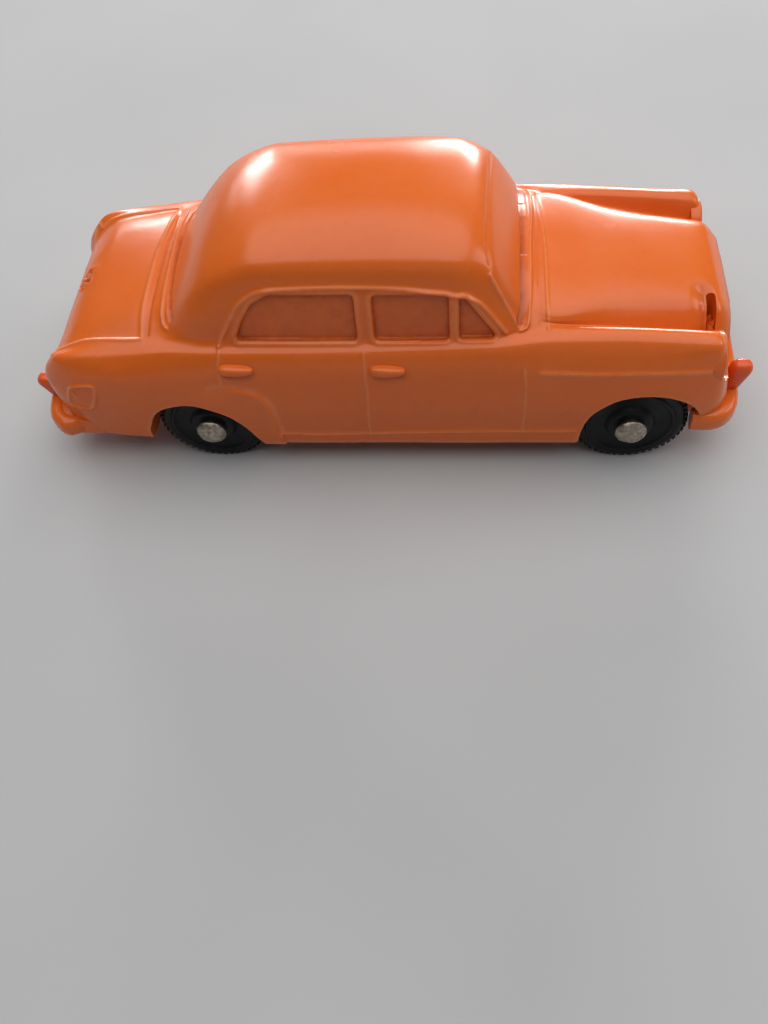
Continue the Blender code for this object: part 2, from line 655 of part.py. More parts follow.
def window_outlines():
    """The side windows seen from the side, as (x, z) points: rear pane, front pane and vent."""
    sill = BELT_HEIGHT + WINDOW_SILL
    top = sill + PANE_SHARE * (HEIGHT - BELT_HEIGHT)
    vent_rear = WINDSCREEN_TOP_X - 0.0040
    front_end = vent_rear - VENT_BAR
    front_start = front_end - FRONT_PANE_LENGTH
    rear_end = front_start - PILLAR_WIDTH
    rear_start = rear_end - REAR_PANE_LENGTH
    rear = [(rear_end, sill), (rear_end, top), (rear_start + PANE_ROUNDING, top)]
    rear += [(rear_start + 0.0028, top - 0.0012), (rear_start + 0.0010, top - 0.0035)]
    rear += [(rear_start, sill + 0.0014), (rear_start + 0.0004, sill)]
    front = [(front_end, sill), (front_end, top), (front_start, top), (front_start, sill)]
    vent = [(vent_rear, sill), (vent_rear + VENT_LENGTH, sill), (vent_rear + 0.0008, top - 0.0005)]
    vent += [(vent_rear, top - 0.0004)]
    return {"rear_pane": rear, "front_pane": front, "vent": vent}


def recess_windows(body, collection, lines):
    """Sinks the side windows a little below the skin, as the moulded toy shows them."""
    bm = bmesh.new()
    stations = [x for x in body_stations() if BACKLIGHT_TOP_X - 0.0010 < x < WINDSCREEN_BASE_X]
    rings = [whole_ring(x, inset(rounded(half_section(lines, x), 2), WINDOW_RECESS)) for x in stations]
    loft(bm, rings)
    core = helper(new_object("cabin_core", bm, collection))
    far = WIDTH / 2 + BEYOND
    for name, outline in window_outlines().items():
        pane = prism(name, outline, -far, far, collection)
        boolean(pane, core, "DIFFERENCE")
        boolean(body, pane, "DIFFERENCE")


def bumper_outline(face_x, forward, inset_y, wrap):
    """A bumper seen from above: curved across the car and wrapped round its corners."""
    half = WIDTH / 2 - inset_y
    curve = [(0.0, 0.0), (0.0002, 0.42), (0.0005, 0.72), (0.0012, 0.88), (0.0030, 0.97)]
    curve += [(wrap, 1.0)]
    outer = [(face_x - forward * back, half * out) for back, out in curve]
    inner_x = face_x - forward * wrap
    inner = [(inner_x, half - BUMPER_THICKNESS), (face_x - forward * OVERRIDER_ROOT, 0.5 * half)]
    left = outer + inner
    return left + [(x, -y) for x, y in left[::-1] if y > 0]


def add_bumpers(body, collection):
    """Adds both bumpers, each with its one overrider on the car's right."""
    shapes = (
        ("front", 1, FRONT_BUMPER_Z, FRONT_BUMPER_INSET, FRONT_BUMPER_WRAP, FRONT_OVERRIDER_HEIGHT),
        ("rear", -1, REAR_BUMPER_Z, REAR_BUMPER_INSET, REAR_BUMPER_WRAP, REAR_OVERRIDER_HEIGHT),
    )
    for end, forward, z, inset_y, wrap, height in shapes:
        face_x = forward * (LENGTH / 2 - OVERRIDER_PROUD)
        outline = bumper_outline(face_x, forward, inset_y, wrap)
        low, high = z - BUMPER_HEIGHT / 2, z + BUMPER_HEIGHT / 2
        bumper = slab(f"{end}_bumper", outline, low, high, collection)
        bevel(bumper, BUMPER_ROUNDING, 2)
        boolean(body, bumper, "UNION")
        tip, root = face_x + forward * OVERRIDER_PROUD, face_x - forward * OVERRIDER_ROOT
        foot = high - OVERRIDER_SINK
        overrider = box(
            f"{end}_overrider",
            (min(tip, root), -OVERRIDER_OUT - OVERRIDER_WIDTH / 2, foot),
            (max(tip, root), -OVERRIDER_OUT + OVERRIDER_WIDTH / 2, foot + height),
            collection,
        )
        bevel(overrider, BUMPER_ROUNDING, 2)
        boolean(body, overrider, "UNION")


def shape_nose(body, collection):
    """Cuts a pocket to the right of the grille, then adds the grille shell."""
    floor = BELT_HEIGHT - POCKET_DEPTH
    rear = NOSE_X - POCKET_SETBACK
    half = GRILLE_WIDTH / 2
    low = (rear, POCKET_INSET - WIDTH / 2, floor)
    pocket = box("pocket", low, (rear + POCKET_LENGTH, -half, BELT_HEIGHT + BEYOND), collection)
    bevel(pocket, NOSE_ROUNDING, 2)
    boolean(body, pocket, "DIFFERENCE")
    top = BELT_HEIGHT - GRILLE_DROP
    low, high = (NOSE_X - GRILLE_ROOT, -half, top - GRILLE_HEIGHT), (NOSE_X + GRILLE_PROUD, half, top)
    grille = box("grille_shell", low, high, collection)
    bevel(grille, NOSE_ROUNDING, 2)
    boolean(body, grille, "UNION")


def lamp_profile(radius):
    """A lamp's rim and domed glass, as (radius, along) points."""
    profile = [(0, LAMP_PROUD + 0.0001), (0.45 * radius, LAMP_PROUD - 0.0001), (0.78 * radius, 0.0001)]
    profile += [(0.84 * radius, LAMP_PROUD), (radius, LAMP_PROUD - 0.0001), (radius, -LAMP_ROOT)]
    return [*profile, (0, -LAMP_ROOT)]


def add_lamps(body, collection):
    """Sinks a round seat into each corner and stands a lamp in it."""
    ends = (
        ("head", 1, LAMP_DIAMETER, NOSE_X - LAMP_SETBACK, LAMP_INSET, LAMP_DROP),
        ("tail", -1, TAIL_LAMP_DIAMETER, TAIL_X + TAIL_LAMP_SETBACK, TAIL_LAMP_INSET, TAIL_LAMP_DROP),
    )
    for kind, forward, diameter, x, y_inset, drop in ends:
        radius = diameter / 2
        seat = radius - LAMP_LAP
        mouth = [(0, -0.0004), (seat, -0.0004), (seat, BEYOND), (0, BEYOND)]
        for name, side in (("left", 1), ("right", -1)):
            place = (x, side * (WIDTH / 2 - y_inset), BELT_HEIGHT - drop)
            shapes = (("seat", mouth, "DIFFERENCE"), ("lamp", lamp_profile(radius), "UNION"))
            for what, shape, operation in shapes:
                profile = [(out, forward * along) for out, along in shape]
                bm = spun(profile, "X", LAMP_SIDES)
                piece = helper(new_object(f"{name}_{kind}_{what}", bm, collection))
                piece.location = place
                piece.rotation_euler = (math.pi / LAMP_SIDES if what == "seat" else 0, 0, 0)
                boolean(body, piece, operation)


def add_handles(body, collection, lines):
    """Adds the four moulded door handles."""
    for name, x, z in (("front", HANDLE_FRONT_X, HANDLE_FRONT_Z), ("rear", -HANDLE_REAR_BACK, HANDLE_REAR_Z)):
        face = side_at(lines, x, z) + HANDLE_PROUD
        for place, side in (("left", 1), ("right", -1)):
            sides = sorted((side * face, side * (face - HANDLE_PROUD - HANDLE_ROOT)))
            handle = box(
                f"{name}_{place}_handle",
                (x - HANDLE_LENGTH / 2, sides[0], z - HANDLE_HEIGHT / 2),
                (x + HANDLE_LENGTH / 2, sides[1], z + HANDLE_HEIGHT / 2),
                collection,
            )
            bevel(handle, HANDLE_ROUNDING, 1)
            boolean(body, handle, "UNION")


def wheel(name, axle_x, middle_y, side, collection, finish):
    """One wheel, moulded in one piece, with toothed tread and a plain hub boss."""
    half, radius = WHEEL_WIDTH / 2, WHEEL_RADIUS
    rim, hub = RIM_DIAMETER / 2, HUB_DIAMETER / 2
    profile = [(BORE_RADIUS, -half), (BORE_RADIUS, half + HUB_PROUD), (hub - 0.0002, half + HUB_PROUD)]
    profile += [(hub, half - RIM_RECESS), (rim - 0.0002, half - RIM_RECESS), (rim, half)]
    profile += [(radius - SHOULDER, half), (radius, half - SHOULDER), (radius, SHOULDER - half)]
    profile += [(radius - SHOULDER, -half)]
    bm = spun([(out, side * along) for out, along in profile], "Y", 2 * TREAD_BLOCKS)
    for vert in bm.verts:
        out = math.hypot(vert.co.x, vert.co.z)
        place = round(math.atan2(vert.co.z, vert.co.x) / math.tau * 2 * TREAD_BLOCKS)
        if out > radius - MERGE and place % 2:
            share = (radius - TREAD_DEPTH) / radius
            vert.co.x *= share
            vert.co.z *= share
    for face in bm.faces:
        middle = face.calc_center_median()
        face.smooth = math.hypot(middle.x, middle.z) < radius - SHOULDER
    made = new_object(name, bm, collection, finish)
    made.location = (axle_x, middle_y, WHEEL_RADIUS)
    return made


def axle(name, axle_x, track, collection, finish):
    """One steel axle with a domed head riveted over each end."""
    end = track / 2 + WHEEL_WIDTH / 2 + HUB_PROUD + AXLE_END_PLAY + HEAD_HEIGHT
    shank, head = AXLE_DIAMETER / 2, HEAD_DIAMETER / 2
    dome = [(0, 0), (0.42 * head, 0.08), (0.78 * head, 0.36), (head, 0.76), (head, 1.0)]
    left = [(out, end - HEAD_HEIGHT * back) for out, back in dome] + [(shank, end - HEAD_HEIGHT)]
    profile = left + [(out, -along) for out, along in left[::-1]]
    bm = spun(profile, "Y", 24)
    made = new_object(name, bm, collection, finish)
    made.location = (axle_x, 0, WHEEL_RADIUS)
    return made


def main():
    for old in list(bpy.data.objects):
        bpy.data.objects.remove(old)
    car = bpy.data.collections.new("toy_car")
    cutters = bpy.data.collections.new("cutters")
    for group in (car, cutters):
        bpy.context.scene.collection.children.link(group)
    vinyl = material("soft_vinyl_orange", (0.80, 0.20, 0.06), 0.35)
    lines = body_lines()
    body = body_skin(car, lines, vinyl)
    boolean(body, hollow(cutters, lines), "DIFFERENCE")
    recess_windows(body, cutters, lines)
    shape_nose(body, cutters)
    add_lamps(body, cutters)
    add_bumpers(body, cutters)
    add_handles(body, cutters, lines)
    cut_wheel_wells(body, cutters)
    black = material("black_polyethylene", (0.012, 0.012, 0.014), 0.45)
    steel = material("plated_steel", (0.55, 0.53, 0.50), 0.35, 1.0)
    for end, axle_x, track in (("front", FRONT_AXLE_X, FRONT_TRACK), ("rear", REAR_AXLE_X, REAR_TRACK)):
        axle(f"{end}_axle", axle_x, track, car, steel)
        for place, side in (("left", 1), ("right", -1)):
            wheel(f"wheel_{end}_{place}", axle_x, side * track / 2, side, car, black)


main()
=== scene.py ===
# %% [markdown]
# This lesson dresses a small toy saloon car: one hollow moulding of soft orange vinyl, on two
# steel axles with black wheels. Lengths are in millimetres, because the details are tenths of one,
# and are turned to metres where a mesh is made.

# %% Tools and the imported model
import json
import math

import bmesh
import bpy
import numpy as np
from mathutils import Matrix, Vector, kdtree, noise

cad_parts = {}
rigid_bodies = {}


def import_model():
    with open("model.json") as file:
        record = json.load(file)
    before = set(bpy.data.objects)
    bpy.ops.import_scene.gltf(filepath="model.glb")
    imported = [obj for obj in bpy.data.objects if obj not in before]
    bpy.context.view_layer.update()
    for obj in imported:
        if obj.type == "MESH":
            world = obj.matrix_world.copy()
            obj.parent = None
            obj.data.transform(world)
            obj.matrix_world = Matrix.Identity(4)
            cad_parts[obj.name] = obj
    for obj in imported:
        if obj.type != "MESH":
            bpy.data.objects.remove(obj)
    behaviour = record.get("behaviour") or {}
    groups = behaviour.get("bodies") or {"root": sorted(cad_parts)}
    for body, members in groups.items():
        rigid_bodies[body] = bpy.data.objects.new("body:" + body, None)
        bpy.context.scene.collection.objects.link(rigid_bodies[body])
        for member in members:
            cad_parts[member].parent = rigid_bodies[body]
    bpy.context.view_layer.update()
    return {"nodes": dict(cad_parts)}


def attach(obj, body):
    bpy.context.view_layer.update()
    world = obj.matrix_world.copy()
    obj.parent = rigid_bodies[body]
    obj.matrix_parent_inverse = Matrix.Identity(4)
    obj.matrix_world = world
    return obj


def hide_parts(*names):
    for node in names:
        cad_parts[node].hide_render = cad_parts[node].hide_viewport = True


for old in list(bpy.data.objects):
    bpy.data.objects.remove(old)
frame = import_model()
MM = 0.001
print("nodes:", sorted(frame["nodes"]))

# %% [markdown]
# The camera looks down on the car's right side by about 56 degrees. It is given as a focal length
# in pixels with a yaw, pitch and roll, because that is how a camera is fitted to a picture.

# %% Camera
CAMERA_PLACE = (15.1, -104.844, 116.261)
YAW, PITCH, ROLL = -10.718, 56.361, 8.427
FOCAL_PIXELS, PICTURE_HEIGHT, SENSOR = 900.0, 1024.0, 36.0


def camera_axes(yaw, pitch, roll):
    """The camera's right, up and backward directions."""
    forward = Vector((
        math.sin(yaw) * math.cos(pitch), math.cos(yaw) * math.cos(pitch), -math.sin(pitch)
    ))
    right = forward.cross(Vector((0, 0, 1))).normalized()
    down = forward.cross(right)
    turned_right = right * math.cos(roll) + down * math.sin(roll)
    turned_down = down * math.cos(roll) - right * math.sin(roll)
    return turned_right, -turned_down, -forward


lens = bpy.data.cameras.new("lens")
lens.lens = FOCAL_PIXELS / PICTURE_HEIGHT * SENSOR
lens.sensor_width = SENSOR
lens.clip_start = 0.01
camera = bpy.data.objects.new("camera", lens)
bpy.context.scene.collection.objects.link(camera)
turn = Matrix(camera_axes(*map(math.radians, (YAW, PITCH, ROLL)))).transposed().to_4x4()
turn.translation = Vector(CAMERA_PLACE) * MM
camera.matrix_world = turn
bpy.context.scene.camera = camera
print("lens:", round(lens.lens, 2), "mm")

# %% [markdown]
# The body is one skin. It could be a subdivided block, but it is all gentle curves from nose to
# tail, so it is lofted: ten lines run the length of the car, and each cross-section is a smooth
# curve through them. A line is written as its points on the left side, each "x y z".

# %% Lines along the body
def rows_of(text):
    """Points written as text, with spaces in a point and a comma after it, as a list."""
    return [tuple(map(float, row.split())) for row in text.split(",")]


LINE_KEYS = {
    "floor_edge": """-51 12.5 7.6, -49.2 14.7 6.1, -46 16.3 5.4, -36.5 17.1 5, -18.3 17.9 4.4,
        30.1 17.9 4.4, 48.2 16.7 5.6, 50.8 14.3 7.6""",
    "waist": """-51 14.3 12.4, -50.2 16 12.7, -49.2 17.2 13.1, -47.7 18.1 13.5, -45.2 18.8 13.9,
        -36.2 19.4 13.9, -17.2 19.7 13.5, 29.7 19.6 13.7, 41.7 19.2 13.7, 46.3 18.7 13.7,
        49.6 17.9 13.2, 50.8 16.5 12.6""",
    "haunch": """-51 13.6 13.3, -50.2 15.3 15.1, -49.6 16.2 16.2, -48.7 17 17.3, -47.5 17.6 18.1,
        -45 18.3 18.8, -36.2 19 19.4, 0 19.2 20.3, 22.1 19.1 20.4, 37.7 18.7 19.9, 46.3 18.1 19.1,
        49.6 17.3 17.8, 50.8 15.5 14.6""",
    "crest": """-51 12.5 14.7, -50.2 14.3 16.9, -49.6 15.3 18.5, -48.7 16 20.1, -47.5 16.6 21.1,
        -45 17 21.7, -36.7 17.3 22.4, -28.6 17.5 23.1, -18.6 17.9 23.5, 0 18.1 23.5, 16.3 18 23.8,
        25.1 17.3 24.3, 34.7 17.1 23.7, 42.7 17 23.1, 48 16.9 22.8, 49 16.5 22, 49.7 15.9 19.6,
        50.8 14.1 15.9""",
    "ridge": """-51 11.3 14.9, -50.2 13.2 17.3, -49.6 14.2 19, -48.7 14.9 20.6, -47.5 15.5 21.7,
        -45 16 22.3, -36.7 16.4 23, -28.6 16.7 23.7, 0 17.3 24.1, 16.3 17.1 24.5, 25.1 16.3 24.9,
        34.7 15.9 24.6, 42.7 15.75 24, 48 15.6 23.5, 49 15.4 22.7, 49.7 14.9 20.2,
        50.8 13.4 16.4""",
    "gutter": """-51 9.3 14.2, -50.2 10.7 16.2, -49.2 12 18.8, -47.7 13.2 20.6, -45.2 14.2 22,
        -43.2 14.5 22.6, -36.2 14.9 23.5, -30.6 15.4 23.9, -22.6 16.1 24.7, 0 16.3 24.8,
        16.3 16.2 24.9, 21.1 15.4 24.9, 25.1 14.8 25.1, 34.7 14.2 24.6, 42.7 13.95 23.9,
        46.3 13.85 23.5, 48 13.8 23.2, 49 13.7 22.4, 49.7 13.2 20, 50.8 12.3 16.7""",
    "pane": """-51 7.3 14, -50.2 8.5 16, -49.2 9.7 18.7, -47.7 11.1 20.6, -45.2 12.5 22.1,
        -43.2 13.3 22.7, -36.2 13.6 23.7, -30.6 13.9 24.4, -27.6 15 25.4, -25.6 15.3 26.4,
        -22.6 15.6 27.4, -18.6 15.7 28.1, 0 15.8 28.4, 11.3 15.8 28.4, 16.3 15.7 27.4,
        19.3 15.3 26.3, 22.1 14 25.6, 25.1 13.9 25.1, 34.7 12.9 23, 42.7 12.5 21.3,
        46.3 12.3 20.6, 48.6 12.1 19.8, 50.8 11.1 17.6""",
    "pillar": """-51 5.5 13.8, -50.2 6.6 15.9, -49.2 7.7 18.6, -47.7 9.1 20.7, -45.2 10.6 22.3,
        -43.2 11.6 23, -36.2 12.2 24.2, -30.6 12.6 24.9, -27.6 13.9 26.9, -25.6 14.3 28.6,
        -22.6 14.5 30.4, -18.6 14.8 31.6, 0 15 32.4, 11.3 15 32.2, 16.3 14.6 30.6, 19.3 14.1 28.1,
        22.1 12.8 26, 25.1 13.6 25.6, 34.7 11.6 24.1, 42.7 10.9 22.8, 46.3 10.9 22,
        48.6 10.7 21.2, 50.8 10.1 19.4""",
    "rail": """-51 3.7 13.6, -50.2 4.6 15.8, -49.2 5.4 18.6, -47.7 6.6 20.9, -45.2 7.9 22.5,
        -43.2 8.9 23.3, -36.2 9.6 24.7, -31.6 10.2 25.3, -29.6 11 26.3, -27.6 11.8 28.4,
        -25.6 12.3 30.4, -22.6 12.6 33.1, -18.6 12.9 35.1, -14.6 13.1 36.1, 0 13.2 36.4,
        11.3 13.1 36.1, 16.3 12.4 34.3, 19.3 12.6 30.1, 22.1 11.2 26.5, 25.1 12.2 26.3,
        34.7 9.8 25.15, 42.7 8.9 24.2, 46.3 8.9 23.6, 48.6 8.9 23.1, 50.8 8 21""",
    "top": """-51 0 13.4, -50.2 0 15.7, -49.2 0 18.6, -47.7 0 21, -46.6 0 22, -43.2 0 23.5,
        -36.2 0 25, -31.6 0 25.7, -30.6 0 26.2, -29.6 0 27.3, -27.6 0 29.9, -25.6 0 32.4,
        -22.6 0 34.9, -18.6 0 37, -14.6 0 38, -6.6 0 38.6, 0 0 38.7, 11.3 0 37.9, 14.8 0 36.9,
        16.3 0 35.7, 19.3 0 31.9, 21.4 0 28.4, 22.5 0 27.4, 25.1 0 27, 34.7 0 25.8, 42.7 0 24.8,
        46.3 0 24.3, 48.6 0 23.7, 50.8 0 21.4""",
}
TAIL, NOSE = -51.0, 50.8
FLOOR_MIDDLE, SILL_SHARE, SILL_RISE = 0.5, 0.72, 1.0
ROCKER_INSET, ROCKER_SHARE = 0.3, 0.45
CROWN_OUT, CROWN_UP = 0.58, 0.78
print("lines:", len(LINE_KEYS))


# %% Sampling a line
def line_at(keys, where):
    """A smooth line through x, y, z keys, which never swings past a key, as (y, z) at each x."""
    table = np.array(rows_of(keys))
    x, values = table[:, 0], table[:, 1:]
    step = np.diff(x)[:, None]
    slope = np.diff(values, axis=0) / step
    tangent = np.zeros_like(values)
    tangent[0], tangent[-1] = slope[0], slope[-1]
    before, after = slope[:-1], slope[1:]
    one, two = 2 * step[1:] + step[:-1], step[1:] + 2 * step[:-1]
    same = before * after > 0
    mean = (one + two) / (one / np.where(same, before, 1) + two / np.where(same, after, 1))
    tangent[1:-1] = np.where(same, mean, 0)
    i = np.clip(np.searchsorted(x, where) - 1, 0, len(x) - 2)
    width = step[i]
    t = np.clip((where - x[i])[:, None] / width, 0, 1)
    return (
        (1 + 2 * t) * (1 - t) ** 2 * values[i] + t * (1 - t) ** 2 * width * tangent[i]
        + t * t * (3 - 2 * t) * values[i + 1] + t * t * (t - 1) * width * tangent[i + 1]
    )


def spline(a, b, c, d, t):
    """A Catmull-Rom curve from b to c, with a and d as the points beyond, at a share t."""
    square, cube = (2 * a - 5 * b + 4 * c - d) * t**2, (3 * b - a - 3 * c + d) * t**3
    return 0.5 * (2 * b + (c - a) * t + square + cube)


# %% [markdown]
# The skin is kept as a table, with a point every 0.1 mm along the car and a few hundred round each
# half-section. The mesh uses all of them where a raised line runs and few on plain panels. A
# slight blur takes out the kinks that the listed points leave and a glossy surface would show.

# %% The skin as a table
COARSE = 8
SPAN_CELLS = (8, 8, 2, 4, 5, 8, 5, 2, 2, 5, 5, 6, 7, 8)
ROWS = 127 * COARSE + 1
FINE = (NOSE - TAIL) / (ROWS - 1)
HALF = sum(SPAN_CELLS) * COARSE
ROUND = 2 * HALF
ALONG = TAIL + FINE * np.arange(ROWS)
LINE_START = np.concatenate([[0], np.cumsum(SPAN_CELLS)]) * COARSE
MIRROR = np.array([-1, 1])
BLUR_ALONG, BLUR_ROUND = 6, 5


def section_points():
    """The fifteen points of every half-section, as an array of rows, points and (y, z)."""
    at = {name: line_at(keys, ALONG) for name, keys in LINE_KEYS.items()}
    floor, waist, rail, top = (at[name] for name in ("floor_edge", "waist", "rail", "top"))
    sill = np.stack([
        floor[:, 0] + SILL_SHARE * (waist[:, 0] - floor[:, 0]), floor[:, 1] + SILL_RISE
    ], 1)
    rocker = np.stack([
        waist[:, 0] - ROCKER_INSET, sill[:, 1] + ROCKER_SHARE * (waist[:, 1] - sill[:, 1])
    ], 1)
    crown = np.stack([
        CROWN_OUT * rail[:, 0], rail[:, 1] + CROWN_UP * (top[:, 1] - rail[:, 1])
    ], 1)
    points = [floor * (0, 1), floor * (FLOOR_MIDDLE, 1), floor, sill, rocker, waist]
    points += [at[name] for name in ("haunch", "crest", "ridge", "gutter", "pane", "pillar")]
    return np.stack([*points, rail, crown, top], 1)


def skin_table():
    """The skin's (y, z) at every row and at every fine place round the left half."""
    points = section_points()
    padded = np.concatenate([points[:, 1:2] * MIRROR, points, points[:, -2:-1] * MIRROR], 1)
    made = []
    for k, cells in enumerate(SPAN_CELLS):
        a, b, c, d = (padded[:, k + n, None] for n in range(4))
        t = (np.arange(cells * COARSE) / (cells * COARSE))[None, :, None]
        made.append(spline(a, b, c, d, t))
    return np.concatenate([*made, points[:, -1:]], 1)


def blurred(table, axis, reach, mirrors):
    """The table blurred along an axis. Past its ends each value goes on as a mirror image."""
    weights = np.exp(-0.5 * (np.arange(-3 * reach, 3 * reach + 1) / reach) ** 2)
    weights /= weights.sum()
    moved = np.moveaxis(table, axis, 0)
    ends = ((3 * reach, 3 * reach), (0, 0))
    padded = np.stack([np.pad(moved[..., k], ends, "reflect", reflect_type=mirror)
                       for k, mirror in enumerate(mirrors)], -1)
    out = sum(weight * padded[k : k + len(moved)] for k, weight in enumerate(weights))
    return np.moveaxis(out, 0, axis)


skin = blurred(skin_table(), 0, BLUR_ALONG, ("odd", "odd"))
skin = blurred(skin, 1, BLUR_ROUND, ("odd", "even"))
print("skin table:", skin.shape, "widest", round(float(skin[..., 0].max()) * 2, 2), "mm")

# %% Its outward direction
along_y, along_z = np.moveaxis(np.gradient(skin, FINE, axis=0), -1, 0)
up_y, up_z = np.moveaxis(np.gradient(skin, axis=1), -1, 0)
skin_normal = np.stack([up_y * along_z - up_z * along_y, up_z, -up_y], -1)
skin_normal /= np.linalg.norm(skin_normal, axis=-1, keepdims=True)


def place(row, column):
    """Points and normals of the skin at rows and columns, where columns go once round the car."""
    left = column <= HALF
    j = np.where(left, column, ROUND - column)
    sign = np.where(left, 1.0, -1.0)
    points = np.column_stack([ALONG[row], sign * skin[row, j, 0], skin[row, j, 1]])
    normals = skin_normal[row, j] * np.column_stack([np.ones_like(sign), sign, np.ones_like(sign)])
    return points, normals


print("normals:", skin_normal.shape)


# %% Drawing on the skin
def row_of(x):
    """The table's row at a place along the car."""
    return int(np.clip(round((x - TAIL) / FINE), 0, ROWS - 1))


BELT_Z, CORNER_STEPS = 23.9, 5
FLOOR_EDGE, RIDGE, CROWN = LINE_START[2], LINE_START[8], LINE_START[13]


def on_side(x, z):
    """The left side's place as seen from the side at (x, z)."""
    section = skin[row_of(x)]
    low, high = (FLOOR_EDGE, RIDGE) if z < BELT_Z else (RIDGE, CROWN)
    part = section[low:high]
    return x, float(np.interp(z, part[:, 1], part[:, 0])), z


def on_top(x, y):
    """The upper skin's place as seen from above at (x, y)."""
    part = skin[row_of(x)][RIDGE:][::-1]
    return x, y, float(np.interp(abs(y), part[:, 0], part[:, 1]))


def smooth_path(points, closed=False, spacing=0.4):
    """A flat path through points, as a spline that is evenly sampled."""
    points = np.asarray(points, float)
    if closed:
        padded = np.vstack([points[-1:], points, points[:2]])
    else:
        padded = np.vstack([2 * points[0] - points[1], points, 2 * points[-1] - points[-2]])
    made = []
    for a, b, c, d in zip(padded, padded[1:], padded[2:], padded[3:]):
        count = max(1, round(float(np.linalg.norm(c - b)) / spacing))
        for t in np.arange(count) / count:
            made.append(spline(a, b, c, d, t))
    made.append(made[0] if closed else points[-1])
    return np.array(made)


def rounded_corners(points, radii):
    """A closed outline whose corners are arcs."""
    points = np.asarray(points, float)
    made = []
    around = zip(np.roll(points, 1, 0), points, np.roll(points, -1, 0), radii)
    for before, corner, after, radius in around:
        one, two = before - corner, after - corner
        one, two = one / np.linalg.norm(one), two / np.linalg.norm(two)
        half = math.acos(float(np.clip(one @ two, -1, 1))) / 2
        start, end = corner + one * radius / math.tan(half), corner + two * radius / math.tan(half)
        for t in np.linspace(0, 1, CORNER_STEPS):
            made.append((1 - t) ** 2 * start + 2 * t * (1 - t) * corner + t**2 * end)
    return np.array(made)


print("side at the doors:", [round(v, 2) for v in on_side(0, 15)])

# %% [markdown]
# The mould drew fine lines on the vinyl: drip rails, door seams, window frames, the boot lid. They
# could be separate beads, but real ones have no edge where they meet the panel, so the skin itself
# is raised or sunk along each path. A line is its height (below zero for a groove), its width and
# its points, "x z" seen from the side for both sides of the car, or "x y" seen from above.

# %% Raised and sunk lines
SIDE_LINES = {
    "drip_rail": (0.34, 0.36, """-21.8 24.1, -20.8 25.9, -19.1 28.7, -18.1 30.3, -16.7 31.5,
        -15.2 32.3, -13.1 32.8, -8.9 33, -3.4 33.1, 4.6 32.8, 10.2 32, 13.4 31.3, 15 30.3,
        16.4 28.7, 17.9 26.6, 18.8 25.3"""),
    "screen_pillar": (0.22, 0.3, """16.5 33.3, 17.9 30.5, 19.3 27.7, 20.1 26.2"""),
    "rear_door_edge": (0.14, 0.22, """-21.8 24, -22.1 21.4, -22.2 18.9"""),
    "centre_post": (0.13, 0.2, """-0.95 23.8, -0.9 19.8, -0.95 15.8, -1.25 11.1, -1.35 7.5"""),
    "front_door_edge": (0.11, 0.2, """21.5 21.2, 21.8 17.5, 21.8 12, 21.7 8.1"""),
    "sill": (0.22, 0.32, """-15.1 7.8, -12 7.6, -7.7 7.5, 6.3 7.9, 15.4 8.1, 29.5 8.1"""),
    "wing_crease": (0.22, 0.45, """23.9 20.6, 25.8 20.5, 31.9 20.1, 38.7 19.9, 46.8 19.5"""),
}
TOP_LINES = {
    "windscreen_head": (-0.12, 0.28, """16.5 11.4, 16.5 8, 16.4 4.7, 16.2 0, 16.1 -4.5, 15.9 -8.7,
        16.4 -12"""),
    "windscreen_groove": (-0.75, 0.5, """20.7 14.2, 21 12.4, 21.2 8.5, 21.3 4.1, 21.3 -2.5,
        21.2 -8.2, 21.2 -12.6, 20.8 -14.4"""),
    "windscreen_rim": (0.32, 0.26, """22 14.9, 22.5 12.4, 22.6 7.1, 22.3 0.4, 22.2 -5.8,
        22.1 -10.8, 21.8 -14.4, 20.9 -15.2"""),
    "bonnet_gap": (-0.08, 0.3, """23.3 13.6, 23.4 8, 23.4 0, 23.5 -8, 23.6 -14.4"""),
    "bonnet_edge": (0.2, 0.26, """23.6 13.8, 23.7 10.7, 24.3 3.2, 24.5 -3.2, 24.5 -9, 24.6 -13.6,
        24.7 -15.1"""),
    "boot_gap": (-0.16, 0.26, """-32.7 13, -32.7 7.7, -33.2 2.5, -33.15 -4.1, -33.1 -9.7,
        -33 -14.1"""),
    "backlight_groove": (-0.85, 0.38, """-29.2 12.6, -29.8 10.5, -30.2 8.3, -31 4.1, -30.8 -1.1,
        -30.3 -6.3, -29.9 -9.5, -29.3 -12.8"""),
    "backlight_rim": (0.3, 0.32, """-30.6 13.2, -31.2 10.3, -31.7 5.5, -31.6 0.4, -31.4 -4.5,
        -31.2 -8.6, -30.7 -12.4, -29.9 -13.7"""),
    "boot_lid": (0.2, 0.34, """-48.6 12.6, -47.3 13.6, -45.2 14.5, -38.8 14.5, -34.2 14.4,
        -33.4 13.6, -33.8 8.8, -34.4 2.8, -34.4 -3.9, -34.3 -9.5, -33.9 -13.9, -34.6 -14.7,
        -42.1 -13.9, -45 -13.9, -47.6 -13.9, -48.6 -12.6"""),
}
FUEL_FLAP = rows_of("""-46.1 17.3, -44.7 17.9, -42.6 18.2, -42.1 17.5, -42.8 15.3, -43.8 13.6,
        -44.7 13.2, -46 13.5, -47.2 14, -46.9 15.6""")
WING_BULGE = rows_of("""-26.6 18, -24.6 18.2, -23.8 18.35, -22.5 18.5, -20.3 18.45, -18.2 17.9,
        -16.6 16.9, -15.5 14.8, -15.2 11.2, -15 8, -14.9 3, -40 3, -40 18""")
print("lines:", len(SIDE_LINES) + len(TOP_LINES) + 2)

